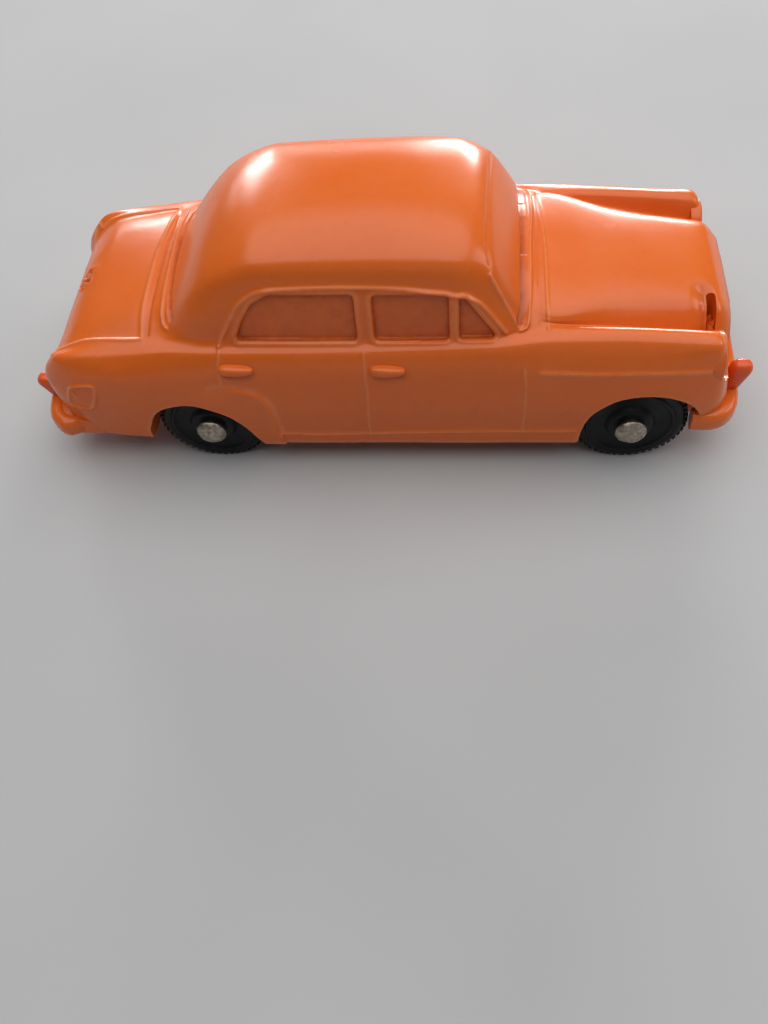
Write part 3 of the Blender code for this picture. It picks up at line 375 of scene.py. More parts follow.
# %% The side windows
WINDOWS = {
    "rear_pane": (((-1.8, 24.7), (-1.8, 32.1), (-13.6, 32.1), (-16.2, 30.6), (-18.0, 27.9),
                   (-19.1, 25.4), (-18.9, 24.7)), (0.7, 0.7, 2.2, 1.8, 1.8, 0.3, 0.3)),
    "front_pane": (((11.1, 24.7), (11.1, 31.8), (0.6, 32.0), (0.6, 24.7)), (0.7, 0.7, 0.8, 0.8)),
    "vent": (((12.4, 24.8), (17.7, 24.8), (13.2, 31.3), (12.4, 31.3)), (0.5, 0.5, 0.35, 0.35)),
}
# The third value is how far in from a pane's edge its band of painted shade reaches.
PANE_DEPTH, PANE_EDGE, PANE_SHADE_REACH = 0.62, 0.30, 0.9
FRAME_HEIGHT, FRAME_WIDTH, FRAME_OFFSET = 0.20, 0.34, 0.42
window_outlines = {
    name: rounded_corners(points, radii) for name, (points, radii) in WINDOWS.items()
}
print("windows:", list(window_outlines))

# %% Wheel arches
WHEEL_RADIUS = 8.4
AXLES = {"front": (37.7, 31.4), "rear": (-26.2, 31.4)}
ARCHES = {
    "front": (15.5, """-0.9 -0.1, -0.88 0.3, -0.85 0.52, -0.75 0.72, -0.6 0.84, -0.29 0.96,
        0.13 1, 0.57 0.965, 0.96 0.84, 1.17 0.65, 1.26 0.45, 1.3 -0.1"""),
    "rear": (14.3, """-1.24 -0.1, -1.23 0.48, -1.13 0.66, -0.98 0.83, -0.78 0.93, -0.5 0.985,
        -0.21 1, 0.07 0.955, 0.37 0.85, 0.6 0.69, 0.82 0.45, 0.94 0.25, 0.98 -0.1"""),
}
arch_paths = {
    end: smooth_path([(AXLES[end][0] + WHEEL_RADIUS * a, top * u) for a, u in rows_of(shares)])
    for end, (top, shares) in ARCHES.items()
}
print("arches:", {end: len(path) for end, path in arch_paths.items()})

# %% Every line on the skin
def lifted(path, drawn, sides=(1, -1)):
    """A flat path drawn on the skin, once for each side it is on."""
    left = np.array([drawn(*point) for point in path])
    return [left * (1, side, 1) for side in sides]


ARCH_LOW, FLAP_RIM = 4.0, (0.34, 0.28)
drawn_lines = []
for height, width, keys in SIDE_LINES.values():
    drawn_lines += [(height, width, path) for path in lifted(smooth_path(rows_of(keys)), on_side)]
for name, (height, width, keys) in TOP_LINES.items():
    path = smooth_path(rows_of(keys), name == "boot_lid")
    drawn_lines += [(height, width, drawn) for drawn in lifted(path, on_top, (1,))]
drawn_lines.append((*FLAP_RIM, lifted(smooth_path(FUEL_FLAP, True), on_side, (-1,))[0]))
edge_lines = []
for outline in window_outlines.values():
    edge_lines += lifted(smooth_path(outline, True), on_side)
for path in arch_paths.values():
    edge_lines += lifted(path[path[:, 1] > ARCH_LOW], on_side)
bulge_path = smooth_path(WING_BULGE[1:10])
edge_lines += lifted(bulge_path, on_side)
print("paths:", len(drawn_lines) + len(edge_lines))

# %% [markdown]
# A mesh fine enough for the thinnest line would have millions of faces. This one starts as a
# coarse grid, and a cell is split in four, up to three times, where a line passes or the skin
# turns quickly. A cell keeps its smaller neighbours' corners in its own edges, so there are no
# cracks.

# %% Splitting the grid
FINE_REACH, MEDIUM_REACH, MOST_TURN = 0.42, 0.95, 0.14
near_lines = np.vstack([path for _, _, path in drawn_lines] + edge_lines)
line_tree = kdtree.KDTree(len(near_lines))
for k, point in enumerate(near_lines):
    line_tree.insert(point, k)
line_tree.balance()


def to_split(row, column, size):
    """Which cells are too big for what crosses them."""
    middle, _ = place(row + size // 2, (column + size // 2) % ROUND)
    corner, corner_normal = place(row, column % ROUND)
    _, other_normal = place(row + size, (column + size) % ROUND)
    reach = np.linalg.norm(corner - middle, axis=1)
    gap = np.array([line_tree.find(point)[2] for point in middle])
    close = gap < reach + (MEDIUM_REACH if size > 2 else FINE_REACH)
    turn = np.linalg.norm(corner_normal - other_normal, axis=1)
    return close | ((turn > MOST_TURN) & (size > 2))


def grid_cells():
    """Rows, columns and sizes of all the cells."""
    starts = np.arange(0, ROWS - 1, COARSE), np.arange(0, ROUND, COARSE)
    row, column = (grid.ravel() for grid in np.meshgrid(*starts, indexing="ij"))
    done, size = [], COARSE
    while size > 1:
        split = to_split(row, column, size)
        kept = row[~split]
        done.append(np.column_stack([kept, column[~split], np.full_like(kept, size)]))
        row, column, size = row[split], column[split], size // 2
        row = np.concatenate([row, row + size, row, row + size])
        column = np.concatenate([column, column, column + size, column + size])
    done.append(np.column_stack([row, column, np.ones_like(row)]))
    return np.vstack(done)


cells = grid_cells()
print("cells:", len(cells), "of which the smallest:", int((cells[:, 2] == 1).sum()))

# %% Joining the cells
def cell_faces(cells):
    """The used places, and each cell's outline through every used place on its edges."""
    used = np.zeros((ROWS, ROUND), bool)
    row, column, size = cells.T
    for down, across in ((0, 0), (1, 0), (0, 1), (1, 1)):
        used[row + down * size, (column + across * size) % ROUND] = True
    number = np.full((ROWS, ROUND), -1)
    rows, columns = np.nonzero(used)
    number[rows, columns] = np.arange(len(rows))
    faces = []
    for r, c, s in cells.tolist():
        turn = [(r, c + k) for k in range(s)] + [(r + k, c + s) for k in range(s)]
        turn += [(r + s, c + s - k) for k in range(s)] + [(r + s - k, c) for k in range(s)]
        outline = [number[a, b % ROUND] for a, b in turn]
        faces.append([int(n) for n in outline if n >= 0])
    ends = [[int(n) for n in number[end] if n >= 0] for end in (0, ROWS - 1)]
    return rows, columns, faces, ends


rows, columns, faces, ends = cell_faces(cells)
points, normals = place(rows, columns)
print("places:", len(points))

# %% Raising the lines
AT_ONCE = 300000


def gap_to(points, path, reach=2.0):
    """The distance from each point to a path, and 99 where it is out of reach."""
    gap = np.full(len(points), 99.0)
    low, high = path.min(0) - reach, path.max(0) + reach
    chosen = np.nonzero(((points > low) & (points < high)).all(1))[0]
    for part in np.array_split(chosen, len(chosen) * len(path) // AT_ONCE + 1):
        start, along = path[:-1], np.diff(path, axis=0)
        away = points[part][:, None] - start[None]
        share = (away * along).sum(-1) / np.maximum((along**2).sum(-1), 1e-9)
        nearest = away - np.clip(share, 0, 1)[..., None] * along
        gap[part] = np.sqrt((nearest**2).sum(-1).min(1))
    return gap


def inside(points, outline):
    """Which flat points lie inside a closed outline."""
    found = np.zeros(len(points), bool)
    x, y = points.T
    for (x1, y1), (x2, y2) in zip(outline, np.roll(outline, -1, 0)):
        crosses = (y1 > y) != (y2 > y)
        edge = x1 + (y - y1) * (x2 - x1) / (y2 - y1 if y1 != y2 else 1)
        found ^= crosses & (x < edge)
    return found


def hill(gap, width):
    """1 at no distance, falling to nothing at about twice the width."""
    return np.exp(-((gap / width) ** 2))


def soft_step(value, width):
    """Rises smoothly from 0 to 1 as the value goes from 0 to the width."""
    t = np.clip(value / width, 0, 1)
    return t * t * (3 - 2 * t)


lift = np.zeros(len(points))
# Two colour marks on the skin: dirt that also paints shade into grooves, recesses and pits, and
# wear that also paints highlights along raised edges.
marks = {"grime_and_shade": np.zeros(len(points)), "wear_and_highlight": np.zeros(len(points))}


def mark(name, shape):
    """Adds to a mark where the shape is stronger: dirt with painted shade, or wear with painted
    highlight.
    """
    marks[name] = np.maximum(marks[name], shape)


# Grooves are painted darker, as dirt and painted shade; raised lines are painted paler, as wear
# and painted highlight.
for height, width, path in drawn_lines:
    shape = hill(gap_to(points, path), width)
    lift += height * shape
    if height < 0:
        mark("grime_and_shade", shape * min(1, -2 * height))
    else:
        mark("wear_and_highlight", 0.5 * shape)
print("lifted:", round(float(lift.max()), 2), "to", round(float(lift.min()), 2), "mm")

# %% Sinking the windows
SIDE_FROM = 10
side_view = points[:, [0, 2]]
for outline in window_outlines.values():
    flat = smooth_path(outline, True)
    for side in (1, -1):
        path = lifted(flat, on_side, (side,))[0]
        gap = gap_to(points, path)
        within = inside(side_view, outline) & (points[:, 1] * side > SIDE_FROM)
        rim = hill(gap - FRAME_OFFSET, FRAME_WIDTH) * ~within
        lift += FRAME_HEIGHT * rim - PANE_DEPTH * soft_step(gap, PANE_EDGE) * within
        # Each sunk pane is painted darker all over and most near its edge, as painted shade in the
        # recess; its frame is painted paler, as wear and painted highlight.
        mark("grime_and_shade", np.maximum(0.8 * hill(gap, PANE_SHADE_REACH), 0.35) * within)
        mark("wear_and_highlight", 0.4 * rim)
print("windows sunk by", PANE_DEPTH, "mm")

# %% The rear wing's step
BULGE_HEIGHT, BULGE_EDGE, BULGE_FADE = 0.50, 0.9, 6.0
BULGE_BACK, BULGE_RISE, BULGE_TOP, BULGE_CORNER = -30.0, 5.4, 18.2, -20.5
flat_points = points * (1, 0, 1)
flat_path = np.column_stack([bulge_path[:, 0], np.zeros(len(bulge_path)), bulge_path[:, 1]])
for side in (1, -1):
    gap = gap_to(points, lifted(bulge_path, on_side, (side,))[0])
    within = inside(side_view, np.array(WING_BULGE)) & (points[:, 1] * side > SIDE_FROM)
    flat_gap = gap_to(flat_points[within], flat_path, 30.0)
    step = soft_step(flat_gap, BULGE_EDGE) * np.exp(-flat_gap / BULGE_FADE)
    x, z = points[within, 0], points[within, 2]
    under = 1 - (1 - soft_step(BULGE_TOP - z, 3.0)) * soft_step(BULGE_CORNER - x, 2.5)
    lift[within] += BULGE_HEIGHT * step * under * soft_step(x - BULGE_BACK, BULGE_RISE)
    # A paler line along the step's edge: wear and a painted highlight.
    mark("wear_and_highlight", 0.5 * hill(gap, 0.4))
print("wing step:", BULGE_HEIGHT, "mm")

# %% Soft edges at the arches
LIP_RADIUS, LIP_DROP = 0.40, 0.22
SILL_LOW, SILL_BAND, SILL_FACING = 4.9, 0.45, 0.25
# The arch lips and a band along the sill's lower edge on the sides are painted paler, as wear and
# painted highlight.
for path in edge_lines[6:10]:
    gap = gap_to(points, path)
    lift -= LIP_DROP * np.clip(1 - gap / LIP_RADIUS, 0, 1) ** 2
    mark("wear_and_highlight", hill(gap, 0.35))
mark("wear_and_highlight", hill(points[:, 2] - SILL_LOW, SILL_BAND) * (np.abs(normals[:, 1]) > SILL_FACING))
print("arch edges:", len(edge_lines[6:10]))

# %% Small marks and the unevenness of the mould
FLAP_KNOB, KNOB_SIZE, KNOB_HEIGHT = (-45.8, 16.2), 0.45, 0.30
POCKET_LIP = [on_top(46.9, y) for y in (-6.8, -8.5, -10.2, -11.6)]
HANDLE_PLACES = {"front": (2.3, 21.4), "rear": (-19.6, 21.5)}
HANDLE_SHADE = (-1.6, 2.2, -0.75)
CRATER_PITS = (((-45.9, 1.4), (-46.4, 0.5)), ((-46.3, -0.3), (-46.9, -1.3)))
RING_OUT, RING_WIDTH, RING_HEIGHT = 0.62, 0.28, 0.32
WAVE, WAVE_SIZE = 0.045, 11.0
FIN_PUSH, FIN_START, FIN_Y, FIN_Z = 1.25, -46.5, 15.4, 16.8


def dent(path, depth, width, dark, dark_width, reach=2.0):
    """Sinks the skin along a path and darkens it with painted shade, and gives the distances to
    the path.
    """
    gap = gap_to(points, np.array(path), reach)
    lift[:] -= depth * hill(gap, width)
    mark("grime_and_shade", dark * hill(gap, dark_width))
    return gap


knob_gap = np.linalg.norm(side_view - FLAP_KNOB, axis=1)
lift += KNOB_HEIGHT * hill(knob_gap, KNOB_SIZE) * (points[:, 1] < -SIDE_FROM)
# The pocket's lip is sunk and painted darker as shade.
dent(POCKET_LIP, 0.75, 1.1, 0.5, 0.8, 4.0)
# A sunk strip under each handle, painted darker as the handle's shadow.
for x, z in HANDLE_PLACES.values():
    back, front, under = HANDLE_SHADE
    shade = np.array([on_side(x + back, z + under), on_side(x + front, z + under)])
    for side in (1, -1):
        dent(shade * (1, side, 1), 0.22, 0.5, 0.9, 0.55)
# Two pits, painted darker inside as shade, each in a raised ring.
for pit in CRATER_PITS:
    gap = dent([on_top(*point) for point in pit], 0.75, 0.42, 1.0, 0.45)
    lift += RING_HEIGHT * hill(gap - RING_OUT, RING_WIDTH)
for k, point in enumerate(points):
    lift[k] += WAVE * noise.noise(Vector(point) / WAVE_SIZE)
displaced = points + normals * lift[:, None]
fin = hill(np.abs(points[:, 1]) - FIN_Y, 2.6) * hill(points[:, 2] - FIN_Z, 3.4)
displaced[:, 0] -= FIN_PUSH * fin * soft_step(FIN_START - points[:, 0], 3.5)
print("worn places:", int((marks["wear_and_highlight"] > 0.5).sum()))

# %% Mesh helpers
def bridge(bm, one, two):
    """Faces between two rings of vertices."""
    for a, b, c, d in zip(one, one[1:] + one[:1], two[1:] + two[:1], two):
        bm.faces.new((a, b, c, d))


def link_mesh(name, bm, collection=None):
    """Makes an object of a bmesh, with its faces pointing outwards."""
    bmesh.ops.recalc_face_normals(bm, faces=bm.faces)
    mesh = bpy.data.meshes.new(name)
    bm.to_mesh(mesh)
    bm.free()
    made = bpy.data.objects.new(name, mesh)
    (collection or bpy.context.scene.collection).objects.link(made)
    return made


def loft(name, rings, collection=None):
    """A closed solid through rings of points in mm."""
    bm = bmesh.new()
    rings = [[bm.verts.new([c * MM for c in point]) for point in ring] for ring in rings]
    for one, two in zip(rings, rings[1:]):
        bridge(bm, one, two)
    bm.faces.new(rings[0])
    bm.faces.new(rings[-1][::-1])
    return link_mesh(name, bm, collection)


print("mesh helpers ready")

# %% [markdown]
# The ends are closed by shallow domes: a few rings that shrink to the middle and swell outwards.

# %% The body as a mesh
CAP_RINGS, CAP_POWER, CAP_SWELL = 6, 1.3, (0.35, 0.25)


def end_cap(bm, ring, outward, swell):
    """Closes one end with rings that shrink to a middle point."""
    middle = Vector((ring[0].co.x, 0, sum(v.co.z for v in ring) / len(ring)))
    last = ring
    for step in range(1, CAP_RINGS):
        share = 1 - (step / CAP_RINGS) ** CAP_POWER
        rise = Vector((outward * swell * MM * math.sqrt(1 - share**2), 0, 0))
        fresh = [bm.verts.new(middle + (v.co - middle) * share + rise) for v in ring]
        bridge(bm, last, fresh)
        last = fresh
    tip = bm.verts.new(middle + Vector((outward * swell * MM, 0, 0)))
    for a, b in zip(last, last[1:] + last[:1]):
        bm.faces.new((a, b, tip))


def vinyl_body():
    """The displaced skin with both ends closed, and its two colour marks as attributes: dirt with
    painted shade, and wear with painted highlight.
    """
    bm = bmesh.new()
    layers = {name: bm.verts.layers.float.new(name) for name in marks}
    verts = [bm.verts.new(Vector(point) * MM) for point in displaced]
    for name, values in marks.items():
        for vert, value in zip(verts, values):
            vert[layers[name]] = float(value)
    for face in faces:
        bm.faces.new([verts[n] for n in face])
    for end, outward in ((0, -1), (1, 1)):
        end_cap(bm, [verts[n] for n in ends[end]], outward, CAP_SWELL[end])
    return link_mesh("vinyl_body", bm)


body = vinyl_body()
print("body:", len(body.data.polygons), "faces")

# %% [markdown]
# Wheel wells, arches, axle bores, lamp seats and the pocket beside the grille are cut with one
# exact boolean. Its cutters sit in a collection of their own and are removed afterwards.

# %% Cutters
cutters = bpy.data.collections.new("cutters")
bpy.context.scene.collection.children.link(cutters)


def drawn_out(name, outline, near, far):
    """A cutter with a side outline of (x, z) points, from y near to y far."""
    loft(name, [[(x, y, z) for x, z in outline] for y in (near, far)], cutters)


def circle(x, z, radius, count):
    """Points round a circle seen from the side."""
    turn = np.arange(count) / count * math.tau
    return [(x + radius * math.cos(a), z + radius * math.sin(a)) for a in turn]


WELL_RADIUS, WELL_INNER, WELL_SIDE_GAP, WHEEL_WIDTH = 9.3, 12.8, 0.4, 5.0
BORE_RADIUS, BEYOND, ARCH_STEP = 1.25, 30.0, 0.6
for end, (x, track) in AXLES.items():
    face = track / 2 + WHEEL_WIDTH / 2 + WELL_SIDE_GAP
    well = circle(x, WHEEL_RADIUS, WELL_RADIUS, 72)
    for side in (1, -1):
        drawn_out("well", well, side * WELL_INNER, side * face)
        drawn_out("arch", arch_paths[end], side * (WELL_INNER + ARCH_STEP), side * BEYOND)
    drawn_out("bore", circle(x, WHEEL_RADIUS, BORE_RADIUS, 32), -BEYOND, BEYOND)


def rounded_block(name, low, high, radius, segments, collection=None):
    """A block with rounded edges, between two corners in mm."""
    bm = bmesh.new()
    bmesh.ops.create_cube(bm, size=1.0)
    for vert in bm.verts:
        vert.co = Vector([(a if c < 0 else b) * MM for a, b, c in zip(low, high, vert.co)])
    bmesh.ops.bevel(bm, geom=bm.edges[:] + bm.verts[:], offset=radius * MM, segments=segments,
                    affect="EDGES", profile=0.5)
    return link_mesh(name, bm, collection)


rounded_block("pocket", (47.0, -11.7, 19.0), (48.3, -6.5, 40.0), 0.55, 4, cutters)
LAMPS = {"headlamp": (1, 3.6, 48.5, 14.3, 18.8, 0.8),
         "tail_lamp": (-1, 1.7, -50.0, 14.5, 15.4, 0.5)}
SEAT_LAP, SEAT_DEPTH, SEAT_AHEAD = 0.15, 10.0, 4.9
for forward, radius, x, y, z, _ in LAMPS.values():
    wide = (radius - SEAT_LAP) * MM
    for side in (1, -1):
        seat = Vector((x + forward * SEAT_AHEAD, side * y, z)) * MM
        bm = bmesh.new()
        bmesh.ops.create_cone(bm, cap_ends=True, segments=64, radius1=wide, radius2=wide,
                              depth=SEAT_DEPTH * MM, matrix=Matrix.Rotation(math.pi / 2, 4, "Y"))
        bmesh.ops.translate(bm, verts=bm.verts, vec=seat)
        link_mesh("lamp_seat", bm, cutters)

# %% Cutting
def add_modifier(obj, name, kind, **options):
    """Adds a modifier and sets its options."""
    modifier = obj.modifiers.new(name, kind)
    for option, value in options.items():
        setattr(modifier, option, value)
    return modifier


def finish_modifiers(obj):
    """Turns an object with modifiers into a plain mesh."""
    graph = bpy.context.evaluated_depsgraph_get()
    mesh = bpy.data.meshes.new_from_object(obj.evaluated_get(graph), depsgraph=graph)
    obj.modifiers.clear()
    obj.data = mesh
    return obj


def smooth_shading(obj, degrees=42):
    """Smooth faces, with edges sharper than an angle left sharp."""
    obj.data.shade_smooth()
    obj.data.set_sharp_from_angle(angle=math.radians(degrees))


def finished(obj, material, degrees=42):
    """A plain mesh with its material and smooth shading."""
    finish_modifiers(obj)
    obj.data.materials.clear()
    obj.data.materials.append(material)
    smooth_shading(obj, degrees)
    return obj


add_modifier(body, "wells", "BOOLEAN", operation="DIFFERENCE", operand_type="COLLECTION",
             collection=cutters, solver="EXACT")
finish_modifiers(body)
for helper in list(cutters.objects):
    bpy.data.objects.remove(helper)
bpy.data.collections.remove(cutters)
smooth_shading(body, 50)
triangles = sum(len(face.vertices) - 2 for face in body.data.polygons)
print("body after the cuts:", triangles, "triangles")

# %% [markdown]
# Materials come next, because the geometry node trees below set them. One function adds a node,
# and one turns a hex colour into the linear colour that a shader works in. Some sockets have the
# same name on one node, so they go by number: a Map Range takes its value at 0, the range it
# comes from at 1 and 2 and the one it goes to at 3 and 4, and a Mix of colours has its share at
# 0, its colours at 6 and 7 and its result at 2.

# %% Node helpers
def set_inputs(tree, node, inputs):
    """Gives each input its value, or a link where it comes from another node."""
    for socket, source in inputs.items():
        if isinstance(source, bpy.types.NodeSocket):
            tree.links.new(source, node.inputs[socket])
        else:
            node.inputs[socket].default_value = source


def add_node(tree, kind, inputs=None, **options):
    """Adds a node with its options and inputs, and gives its outputs."""
    node = tree.nodes.new(kind)
    for name, value in options.items():
        setattr(node, name, value)
    set_inputs(tree, node, inputs or {})
    return node.outputs


def linear(colour):
    """An sRGB hex colour as linear RGBA."""
    parts = [int(colour[k : k + 2], 16) / 255 for k in (1, 3, 5)]
    return (*[c / 12.92 if c <= 0.04045 else ((c + 0.055) / 1.055) ** 2.4 for c in parts], 1.0)


def new_material(name):
    """A material with its tree, its Principled shader and the place in object space."""
    made = bpy.data.materials.new(name)
    made.use_nodes = True
    tree = made.node_tree
    where = add_node(tree, "ShaderNodeTexCoord")["Object"]
    return made, tree, tree.nodes["Principled BSDF"], where


def lumps(size, detail=3.0):
    """A noise's settings for lumps of about a size in mm."""
    return {"Scale": 1 / (size * MM), "Detail": detail, "Roughness": 0.55}


print("node helpers ready")

# %% [markdown]
# Soft PVC, rotationally moulded in its own orange. It is glossy and a little uneven like skin.
# Grooves, recesses and pits are painted darker, as dirt and painted shade, and raised and rubbed
# edges paler, as wear and painted highlight. A trace of light goes in and comes back.

# %% Orange soft vinyl
NOISE, RANGE, MIX, BUMP = (f"ShaderNode{kind}" for kind in ("TexNoise", "MapRange", "Mix", "Bump"))


def soft_vinyl(name, main, warm, deep, pale, gloss):
    """Moulded soft PVC in an orange, painted darker in its grooves and recesses as dirt and
    painted shade, and paler on its edges as wear and painted highlight.
    """
    made, tree, shader, where = new_material(name)
    broad, small, sheen, grain, waves = (
        add_node(tree, NOISE, {"Vector": where, **lumps(*form)})["Fac"]
        for form in ((14.0, 2.0), (1.6, 4.0), (9.0, 2.0), (0.45, 3.0), (3.0, 2.0))
    )
    cloudy = add_node(tree, RANGE, {0: broad, 1: 0.2, 2: 0.8})[0]
    colour = {0: cloudy, 6: linear(main), 7: linear(warm)}
    colour = add_node(tree, MIX, colour, data_type="RGBA")[2]
    specks = add_node(tree, RANGE, {0: small, 1: 0.45, 2: 0.85, 4: 0.08})[0]
    colour = {0: specks, 6: colour, 7: linear(deep)}
    colour = add_node(tree, MIX, colour, data_type="RGBA")[2]
    # The first mark blends in the deep tone as dirt and painted shade; the second blends in the
    # pale tone as wear and painted highlight.
    for mark_name, tone, low, high, least, most in (("grime_and_shade", deep, 0.3, 0.7, 0.35, 0.8),
                                                    ("wear_and_highlight", pale, 0.3, 0.6, 0.15, 0.6)):
        amount = add_node(tree, "ShaderNodeAttribute", attribute_name=mark_name)["Fac"]
        broken = add_node(tree, RANGE, {0: small, 1: low, 2: high, 3: least, 4: most})[0]
        share = add_node(tree, "ShaderNodeMath", {0: amount, 1: broken}, operation="MULTIPLY")[0]
        colour = {0: share, 6: colour, 7: linear(tone)}
        colour = add_node(tree, MIX, colour, data_type="RGBA")[2]
    satin = {0: sheen, 1: 0.2, 2: 0.8, 3: gloss - 0.03, 4: gloss + 0.06}
    fine = {"Height": grain, "Strength": 0.10, "Distance": 0.05 * MM}
    soft = {"Height": waves, "Strength": 0.25, "Distance": 0.10 * MM,
            "Normal": add_node(tree, BUMP, fine)[0]}
    set_inputs(tree, shader, {
        "Base Color": colour, "Roughness": add_node(tree, RANGE, satin)[0], "IOR": 1.53,
        "Specular IOR Level": 0.40, "Subsurface Weight": 0.08,
        "Subsurface Radius": (1.0, 0.30, 0.12), "Subsurface Scale": 0.8 * MM,
        "Normal": add_node(tree, BUMP, soft)[0],
    })
    return made


# The fourth colour is the deep tone of specks, dirt and painted shade; the fifth is the pale tone
# of wear and painted highlight.
vinyl = soft_vinyl("soft_pvc_moulded_orange", "#E0661D", "#E36C25", "#93340F", "#F2A06A", 0.23)
thin_vinyl = soft_vinyl("soft_pvc_thin_moulding", "#DE541E", "#E25C26", "#98300D", "#F08A58", 0.26)
body.data.materials.clear()
body.data.materials.append(vinyl)
print("vinyl nodes:", len(vinyl.node_tree.nodes))

# %% [markdown]
# The wheels are moulded polyethylene: near black with a waxy satin face and a little dust. The
# axle ends are mild steel, riveted into a rough dome and plated, and have dulled to a warm grey.

# %% Black polyethylene and plated steel
def wheel_plastic():
    """Satin black polyethylene with dust in it."""
    made, tree, shader, where = new_material("polyethylene_moulded_black")
    patches, sheen, grain = (
        add_node(tree, NOISE, {"Vector": where, **lumps(*form)})["Fac"]
        for form in ((1.2, 5.0), (2.5, 3.0), (0.35, 4.0))
    )
    dust = add_node(tree, RANGE, {0: patches, 1: 0.55, 2: 0.85, 4: 0.35})[0]
    colour = {0: dust, 6: linear("#08090B"), 7: linear("#1E1E22")}
    rough = {"Height": grain, "Strength": 0.25, "Distance": 0.06 * MM}
    set_inputs(tree, shader, {
        "Base Color": add_node(tree, MIX, colour, data_type="RGBA")[2],
        "Roughness": add_node(tree, RANGE, {0: sheen, 1: 0.3, 2: 0.7, 3: 0.38, 4: 0.58})[0],
        "IOR": 1.51, "Specular IOR Level": 0.25, "Normal": add_node(tree, BUMP, rough)[0],
    })
    return made


def riveted_steel():
    """Dull plated steel with punch marks."""
    made, tree, shader, where = new_material("mild_steel_plated_riveted")
    patches, sheen, punches = (
        add_node(tree, NOISE, {"Vector": where, **lumps(*form)})["Fac"]
        for form in ((0.5, 4.0), (0.8, 3.0), (0.28, 3.0))
    )
    spots = add_node(tree, RANGE, {0: patches, 1: 0.35, 2: 0.7})[0]
    colour = {0: spots, 6: linear("#B9B0A2"), 7: linear("#857A6B")}
    rough = {"Height": punches, "Strength": 0.5, "Distance": 0.10 * MM}
    set_inputs(tree, shader, {
        "Base Color": add_node(tree, MIX, colour, data_type="RGBA")[2], "Metallic": 1.0,
        "Roughness": add_node(tree, RANGE, {0: sheen, 1: 0.3, 2: 0.7, 3: 0.32, 4: 0.55})[0],
        "Normal": add_node(tree, BUMP, rough)[0],
    })
    return made


black, steel = wheel_plastic(), riveted_steel()
print("materials:", [m.name for m in bpy.data.materials])

# %% [markdown]
# A bumper is one rounded section along a curved path, so it is a geometry node tree: the path
# comes in as a chain of edges and the section is drawn along it.

# %% The swept bar tree
def tree_with(name, **kinds):
    """A geometry node tree with named inputs besides its geometry and material."""
    tree = bpy.data.node_groups.new(name, "GeometryNodeTree")
    inputs = {"Geometry": "Geometry", **kinds, "Material": "Material"}
    for way, sockets in (("INPUT", inputs), ("OUTPUT", {"Geometry": "Geometry"})):
        for label, kind in sockets.items():
            tree.interface.new_socket(label, in_out=way, socket_type=f"NodeSocket{kind}")
    return tree, add_node(tree, "NodeGroupInput")


def close_tree(tree, given, geometry, with_input=False):
    """Ends a tree in Realize Instances and Set Material, with its own geometry kept if asked."""
    if with_input:
        both = tree.nodes.new("GeometryNodeJoinGeometry")
        tree.links.new(geometry, both.inputs[0])
        tree.links.new(given["Geometry"], both.inputs[0])
        geometry = both.outputs[0]
    real = add_node(tree, "GeometryNodeRealizeInstances", {0: geometry})[0]
    painted = {"Geometry": real, "Material": given["Material"]}
    add_node(tree, "NodeGroupOutput", {0: add_node(tree, "GeometryNodeSetMaterial", painted)[0]})
    return tree


def run_tree(obj, tree, values):
    """Runs a tree on an object, which gets a plain mesh."""
    modifier = add_modifier(obj, tree.name, "NODES", node_group=tree)
    for socket in tree.interface.items_tree:
        if socket.name in values:
            modifier[socket.identifier] = values[socket.name]
    finish_modifiers(obj)


def swept_bar_tree():
    """A rounded section drawn along a path."""
    tree, given = tree_with("swept_bar", Height="Float", Thickness="Float", Rounding="Float")
    line = add_node(tree, "GeometryNodeMeshToCurve", {0: given["Geometry"]})[0]
    upright = add_node(tree, "GeometryNodeSetCurveNormal", {"Curve": line}, mode="Z_UP")[0]
    section = {"Width": given["Thickness"], "Height": given["Height"]}
    outline = add_node(tree, "GeometryNodeCurvePrimitiveQuadrilateral", section)[0]
    corners = add_node(tree, "GeometryNodeFilletCurve", {
        "Curve": outline, "Radius": given["Rounding"], "Count": 5, "Limit Radius": True,
    }, mode="POLY")[0]
    bar = {"Curve": upright, "Profile Curve": corners, "Fill Caps": True}
    return close_tree(tree, given, add_node(tree, "GeometryNodeCurveToMesh", bar)[0])


bar_tree = swept_bar_tree()
print("tree:", bar_tree.name)

# %% Bumpers
BUMPER_FACE, BUMPER_HEIGHT, BUMPER_THICK, BUMPER_ROUNDING = 54.4, 3.6, 2.5, 1.15
END_TAPER, END_THIN, END_SINK = 4.5, {"front": 0.0, "rear": 0.4}, {"front": 0.0, "rear": 1.5}
ROOT_INSET, ROOT_HALF, ROOT_DEPTH, ROOT_BACK = 1.0, 1.45, 5.0, 49.6
BUMPERS = {"front": (1, 8.6, 18.7, 6.6), "rear": (-1, 8.0, 19.4, 8.8)}
BUMPER_CURVE = rows_of("""0 0, 0.1 0.25, 0.25 0.5, 0.55 0.74, 1.3 0.9, 2.9 0.985, 4.6 1""")


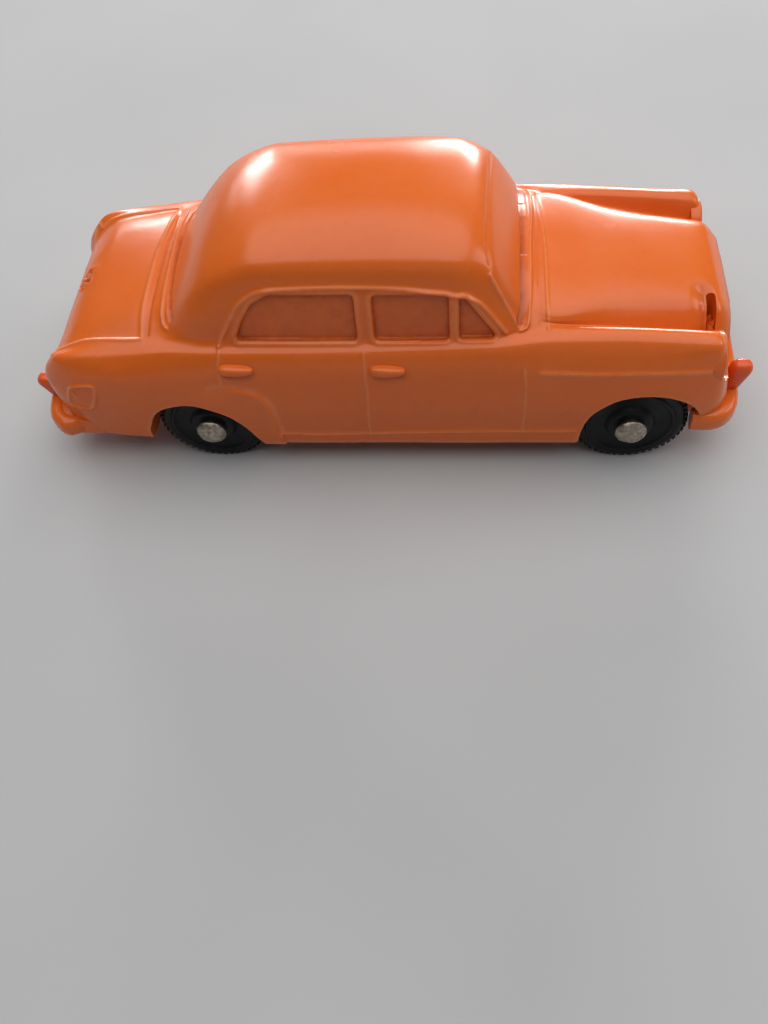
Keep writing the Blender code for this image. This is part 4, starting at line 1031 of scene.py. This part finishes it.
def bumper(end, forward, z, half, wrap):
    """One bumper, wrapped round its corners. The rear one thins out into the wings."""
    middle = BUMPER_THICK / 2
    left = smooth_path([((BUMPER_FACE - middle - back) * forward, (half - middle) * out)
                        for back, out in (*BUMPER_CURVE, (wrap, 0.995))], spacing=0.7)
    flat = np.vstack([left[::-1] * (1, -1), left[1:]])
    mesh = bpy.data.meshes.new(f"{end}_bumper")
    mesh.from_pydata([(x * MM, y * MM, z * MM) for x, y in flat],
                     [(k, k + 1) for k in range(len(flat) - 1)], [])
    made = bpy.data.objects.new(f"{end}_bumper", mesh)
    bpy.context.scene.collection.objects.link(made)
    run_tree(made, bar_tree, {"Height": BUMPER_HEIGHT * MM, "Thickness": BUMPER_THICK * MM,
                              "Rounding": BUMPER_ROUNDING * MM, "Material": vinyl})
    for vert in made.data.vertices:
        x, y, up = vert.co / MM
        thin = 1 - float(soft_step(np.array(forward * x - BUMPER_FACE + wrap), END_TAPER))
        y -= math.copysign(END_SINK[end] * thin, y)
        vert.co = (x * MM, y * MM, (z + (up - z) * (1 - END_THIN[end] * thin)) * MM)
    smooth_shading(made)
    return made


def bumper_root(end, forward, z, half, wrap):
    """The thick vinyl behind a bumper, which joins it to the body."""
    left = [(BUMPER_FACE - ROOT_INSET - back, (half - ROOT_INSET) * out)
            for back, out in (*BUMPER_CURVE, (wrap, 1.0))]
    left += [(BUMPER_FACE - wrap, half - ROOT_DEPTH), (ROOT_BACK, 0.5 * half)]
    outline = [(forward * x, y) for x, y in left + [(x, -y) for x, y in left[::-1] if y > 0]]
    rings = [[(x, y, z + rise) for x, y in outline] for rise in (-ROOT_HALF, ROOT_HALF)]
    return finished(loft(f"{end}_bumper_root", rings), vinyl)


bumpers = {end: bumper(end, *form) for end, form in BUMPERS.items()}
roots = [bumper_root(end, *form) for end, form in BUMPERS.items()]
print("bumpers:", {end: len(made.data.polygons) for end, made in bumpers.items()})

# %% Overriders
OVERRIDER_Y, OVERRIDER_LAP, OVERRIDER_SIDES, OVERRIDER_SQUARE = -12.2, 0.5, 24, 0.7
OVERRIDER_TALL = {"front": 5.4, "rear": 4.2}
OVERRIDER_FORM = rows_of("""0 1.1 51 53.7, 0.25 1.12 51.2 54, 0.5 1.2 51.4 54.5,
        0.72 1.28 51.6 54.95, 0.88 1.18 51.8 54.9, 0.97 0.85 52.2 54.5, 1 0.45 52.8 54""")


def power(value, exponent):
    """A power that keeps the value's sign."""
    return math.copysign(abs(value) ** exponent, value)


def overrider(end, forward):
    """The knob on one bumper: a tooth that widens upwards to a round head."""
    foot = BUMPERS[end][1] + BUMPER_HEIGHT / 2 - OVERRIDER_LAP
    rings = []
    for share, wide, back, front in OVERRIDER_FORM:
        z = foot + share * OVERRIDER_TALL[end]
        rings.append([])
        for a in np.arange(OVERRIDER_SIDES) / OVERRIDER_SIDES * math.tau:
            along, out = (power(v, OVERRIDER_SQUARE) for v in (math.cos(a), math.sin(a)))
            x = (front + back) / 2 + (front - back) / 2 * along
            rings[-1].append((forward * x, OVERRIDER_Y + wide * out, z))
    made = loft(f"{end}_overrider", rings)
    add_modifier(made, "smoothing", "SUBSURF", levels=1, render_levels=1)
    return finished(made, thin_vinyl)


knobs = {end: overrider(end, form[0]) for end, form in BUMPERS.items()}
print("overriders:", list(knobs))

# %% [markdown]
# The grille is out of sight in the picture. A saloon of the time has an upright shell round a row
# of bars, so the shell is a rounded block and the bars are one bar repeated by a tree.

# %% Grille
GRILLE_FRONT, GRILLE_HALF, GRILLE_LOW, GRILLE_TOP = 51.4, 5.8, 9.3, 20.8


def repeated_tree():
    """One bar repeated on a line of points."""
    tree, given = tree_with("repeated_bars", Count="Int", Start="Vector", Step="Vector",
                            Size="Vector")
    line = add_node(tree, "GeometryNodeMeshLine", {
        "Count": given["Count"], "Start Location": given["Start"], "Offset": given["Step"],
    })[0]
    one = add_node(tree, "GeometryNodeMeshCube", {"Size": given["Size"]})[0]
    many = add_node(tree, "GeometryNodeInstanceOnPoints", {"Points": line, "Instance": one})[0]
    return close_tree(tree, given, many, True)


bars_tree = repeated_tree()
shell = rounded_block("radiator_grille", (47.4, -GRILLE_HALF, GRILLE_LOW),
                      (GRILLE_FRONT, GRILLE_HALF, GRILLE_TOP), 1.0, 4)
hollow = rounded_block("hollow_cut", (GRILLE_FRONT - 0.7, -4.7, 10.2), (60, 4.7, 19.7), 0.5, 2)
add_modifier(shell, "opening", "BOOLEAN", operation="DIFFERENCE", object=hollow, solver="EXACT")
finish_modifiers(shell)
bpy.data.objects.remove(hollow)
run_tree(shell, bars_tree, {
    "Count": 11, "Start": ((GRILLE_FRONT - 0.5) * MM, -4.0 * MM, 14.95 * MM),
    "Step": (0, 0.8 * MM, 0), "Size": (0.6 * MM, 0.36 * MM, 9.5 * MM), "Material": vinyl,
})
smooth_shading(shell)
print("grille:", len(shell.data.polygons), "faces")

# %% Lamps
def turned(name, profile, axis, steps, material, place):
    """A closed (radius, along) profile in mm, turned about X or Y."""
    bm = bmesh.new()
    verts = [bm.verts.new((r * MM, a * MM, 0) if axis == "Y" else (a * MM, r * MM, 0))
             for r, a in profile]
    edges = [bm.edges.new(pair) for pair in zip(verts, verts[1:] + verts[:1])]
    bmesh.ops.spin(bm, geom=verts + edges, cent=(0, 0, 0), angle=math.tau, steps=steps,
                   axis=(axis == "X", axis == "Y", 0))
    bmesh.ops.remove_doubles(bm, verts=bm.verts, dist=1e-6)
    bmesh.ops.translate(bm, verts=bm.verts, vec=Vector(place) * MM)
    return finished(link_mesh(name, bm), material)


GLASS = rows_of("""0 0.05, 0.3 0, 0.55 -0.15, 0.7 -0.38, 0.76 -0.42, 0.8 -0.1, 0.86 0, 0.93 -0.04,
        0.97 -0.28, 1 -0.34""")
LAMP_ROOT, SIDES = 0.9, {"left": 1, "right": -1}
lamps = []
for kind, (forward, radius, x, y, z, proud) in LAMPS.items():
    shape = [(share * radius, forward * (proud + rise)) for share, rise in GLASS]
    shape += [(radius, -forward * LAMP_ROOT), (0, -forward * LAMP_ROOT)]
    for hand, side in SIDES.items():
        lamps.append(turned(f"{kind}_{hand}", shape, "X", 64, vinyl, (x, side * y, z)))
print("lamps:", [lamp.name for lamp in lamps])

# %% Door handles
HANDLE_LONG, HANDLE_TALL, HANDLE_PROUD, HANDLE_SQUARE = 5.2, 1.6, 1.0, 0.72


def handle(name, x, z, side):
    """A moulded grip: a rounded drop that is fuller at the back."""
    face = on_side(x, z)[1]
    bm = bmesh.new()
    bmesh.ops.create_uvsphere(bm, u_segments=36, v_segments=18, radius=1.0)
    for vert in bm.verts:
        a, b, c = (power(v, HANDLE_SQUARE) for v in vert.co)
        y, tall = face + b * HANDLE_PROUD, HANDLE_TALL / 2 * (1 - 0.2 * a)
        vert.co = ((x + a * HANDLE_LONG / 2) * MM, side * y * MM, (z + c * tall) * MM)
    return finished(link_mesh(name, bm), vinyl)


handles = [
    handle(f"{end}_handle_{name}", x, z, side)
    for end, (x, z) in HANDLE_PLACES.items() for name, side in SIDES.items()
]
print("handles:", len(handles))

# %% [markdown]
# Each wheel is one moulding: a disc with two rings and a hub boss, turned about the axle, and a
# tread of small blocks, which a tree puts on the points of a circle.

# %% The tread tree
def tread_tree():
    """Tread blocks round a wheel that comes in as geometry."""
    tree, given = tree_with("tread_blocks", Count="Int", Radius="Float", Centre="Vector",
                            Size="Vector")
    circle_of = {"Vertices": given["Count"], "Radius": given["Radius"]}
    ring = add_node(tree, "GeometryNodeMeshCircle", circle_of)[0]
    spot = add_node(tree, "GeometryNodeInputPosition")[0]
    facing = add_node(tree, "FunctionNodeAlignRotationToVector", {"Vector": spot}, axis="X")[0]
    block = add_node(tree, "GeometryNodeMeshCube", {"Size": given["Size"]})[0]
    blocks = add_node(tree, "GeometryNodeInstanceOnPoints", {
        "Points": ring, "Instance": block, "Rotation": facing,
    })[0]
    stood = add_node(tree, "GeometryNodeTransform", {
        "Geometry": blocks, "Translation": given["Centre"], "Rotation": (math.pi / 2, 0, 0),
    })[0]
    return close_tree(tree, given, stood, True)


tread = tread_tree()
print("tree:", tread.name)

# %% Wheels
WHEEL_HALF, BLOCKS, BLOCK_RISE = WHEEL_WIDTH / 2, 48, 0.35
WHEEL_PROFILE = rows_of("""1.25 -2.5, 1.25 3, 2.9 3, 3.25 2.85, 3.45 2.45, 3.7 2.2, 5.6 2.15,
        5.9 2.3, 6.15 2.6, 6.45 2.6, 6.7 2.35, 7.2 2.45, 7.65 2.3, 7.95 1.95, 8.08 1.5, 8.08 -1.5,
        7.95 -1.95, 7.6 -2.35, 7.2 -2.5""")


def wheel(name, x, y, side):
    """One wheel at its axle."""
    profile = [(r, side * a) for r, a in WHEEL_PROFILE]
    made = turned(name, profile, "Y", 96, black, (x, y, WHEEL_RADIUS))
    run_tree(made, tread, {
        "Count": BLOCKS, "Radius": (WHEEL_RADIUS - BLOCK_RISE) * MM,
        "Centre": (x * MM, y * MM, WHEEL_RADIUS * MM),
        "Size": (2 * BLOCK_RISE * MM, 0.6 * MM, 3.9 * MM), "Material": black,
    })
    smooth_shading(made)
    return made


wheels = {}
for end, (x, track) in AXLES.items():
    for hand, side in SIDES.items():
        name = f"{end}_{hand}"
        wheels[name] = wheel(f"road_wheel_{name}", x, side * track / 2, side)
print("wheels:", {name: len(made.data.polygons) for name, made in wheels.items()})

# %% Axles
HUB_PROUD, END_PLAY, HEAD_HEIGHT = 0.5, 0.6, 1.6
ROUGH_DEPTH, PUNCHED, LUMPS = 1.7, 0.10, ((0.85, 0.14), (0.35, 0.04))
AXLE_PROFILE = rows_of("""1 1.6, 2.1 1.6, 2.3 1.45, 2.38 1.15, 2.25 0.85, 1.95 0.55, 1.5 0.3,
        0.95 0.12, 0.45 0.02, 0 0""")


def axle(end, x, track):
    """A steel pin whose ends were punched over into rough domes."""
    tip = track / 2 + WHEEL_HALF + HUB_PROUD + END_PLAY + HEAD_HEIGHT
    half = [(r, tip - back) for r, back in AXLE_PROFILE[::-1]]
    profile = half + [(r, -a) for r, a in half[::-1]]
    made = turned(f"{end}_axle_pin", profile, "Y", 48, steel, (x, 0, WHEEL_RADIUS))
    add_modifier(made, "finer", "SUBSURF", levels=1, render_levels=1)
    finish_modifiers(made)
    for vert in made.data.vertices:
        seat = vert.co / MM
        rise = abs(seat.y) - (tip - ROUGH_DEPTH)
        if rise > 0:
            lump = sum(noise.noise(seat / size) * high for size, high in LUMPS)
            vert.co.y -= math.copysign((PUNCHED + lump) * MM * min(rise, 1), seat.y)
    smooth_shading(made)
    return made


axles = {end: axle(end, x, track) for end, (x, track) in AXLES.items()}
print("axles:", list(axles))

# %% [markdown]
# Where the mould's halves met, the vinyl squeezed out in a thin crumpled web in the pocket.

# %% Moulding flash in the pocket
WEB_X, WEB_Y, WEB_Z, WEB_WALL = (46.9, 48.2), (-11.5, -8.4), 20.4, 0.25
bm = bmesh.new()
grid = []
for u in np.arange(14) / 13:
    grid.append([])
    for v in np.arange(30) / 29:
        seat = Vector((u * 3, v * 5, 2))
        z = WEB_Z + 1.0 * noise.noise(seat * 1.1) + 0.6 * noise.noise(seat * 2.6)
        x, y = (low + (high - low) * w for (low, high), w in ((WEB_X, u), (WEB_Y, v)))
        grid[-1].append(bm.verts.new((x * MM, y * MM, z * MM)))
for a, b in zip(grid, grid[1:]):
    for corners in zip(a, a[1:], b[1:], b):
        bm.faces.new(corners)
web = link_mesh("moulding_flash", bm)
add_modifier(web, "wall", "SOLIDIFY", thickness=WEB_WALL * MM)
finished(web, vinyl, 60)
print("flash:", len(web.data.polygons), "faces")

# %% [markdown]
# Every piece rides on one of the model's bodies and stands for the plain solid it covers.

# %% Riding on the bodies
vinyl_pieces = [body, shell, *bumpers.values(), *roots, *knobs.values(), *lamps, *handles, web]
for piece in vinyl_pieces:
    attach(piece, "body")
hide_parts("body_shell")
for name, piece in wheels.items():
    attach(piece, f"wheel_{name}")
    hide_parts(f"wheel_{name}")
for end, piece in axles.items():
    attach(piece, f"{end}_axle")
    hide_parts(f"{end}_axle")
print("pieces:", len(vinyl_pieces) + len(wheels) + len(axles))

# %% [markdown]
# A studio: a pale floor, a soft sky, windows behind the car that its shoulders mirror, a broad
# lamp overhead, a pale wall ahead of the car and a weak lamp on the camera's side.

# %% Floor
bm = bmesh.new()
bmesh.ops.create_grid(bm, x_segments=1, y_segments=1, size=2.0)
floor = link_mesh("studio_floor", bm)
paper, tree, shader, where = new_material("matt_card_floor")
clouds = add_node(tree, NOISE, {"Vector": where, **lumps(60.0, 2.0)})["Fac"]
grey = add_node(tree, RANGE, {0: clouds, 1: 0.3, 2: 0.7, 3: 0.45, 4: 0.48})[0]
card = add_node(tree, "ShaderNodeCombineColor", {0: grey, 1: grey, 2: grey})[0]
set_inputs(tree, shader, {"Base Color": card, "Roughness": 0.85})
floor.data.materials.append(paper)
print("floor:", floor.name)

# %% Lamps of the studio and the sky
LAMP_FORMS = {
    "back_wall": ((-0.1, 1.1, 0.24), (0, 0, 0.02), (1.5, 0.20), 2.5),
    "right_window": ((0.23, 1.1, 0.26), (0, 0, 0.02), (0.42, 0.18), 6.5),
    "left_window": ((-0.50, 1.0, 0.34), (0, 0, 0.02), (0.24, 0.26), 2.4),
    "overhead": ((0.0, 0.12, 1.2), (0, 0.05, 0.0), (1.8, 1.7), 17),
    "right_wall": ((1.1, 0.2, 0.7), (0, 0, 0.02), (0.8, 0.6), 3.5),
    "fill": ((0.2, -1.1, 0.5), (0, 0, 0.02), (1.0, 0.7), 0.5),
}
for name, (spot, target, size, watts) in LAMP_FORMS.items():
    light = bpy.data.lights.new(name, "AREA")
    light.shape, light.size, light.size_y, light.energy = "RECTANGLE", *size, watts
    made = bpy.data.objects.new(name, light)
    made.location = spot
    made.rotation_euler = (Vector(target) - Vector(spot)).to_track_quat("-Z", "Y").to_euler()
    bpy.context.scene.collection.objects.link(made)
sky = bpy.data.worlds.new("soft_sky")
bpy.context.scene.world = sky
sky.use_nodes = True
background = sky.node_tree.nodes["Background"]
set_inputs(sky.node_tree, background, {"Color": linear("#F2F4F7"), "Strength": 0.09})
bpy.context.scene.view_settings.view_transform = "Standard"
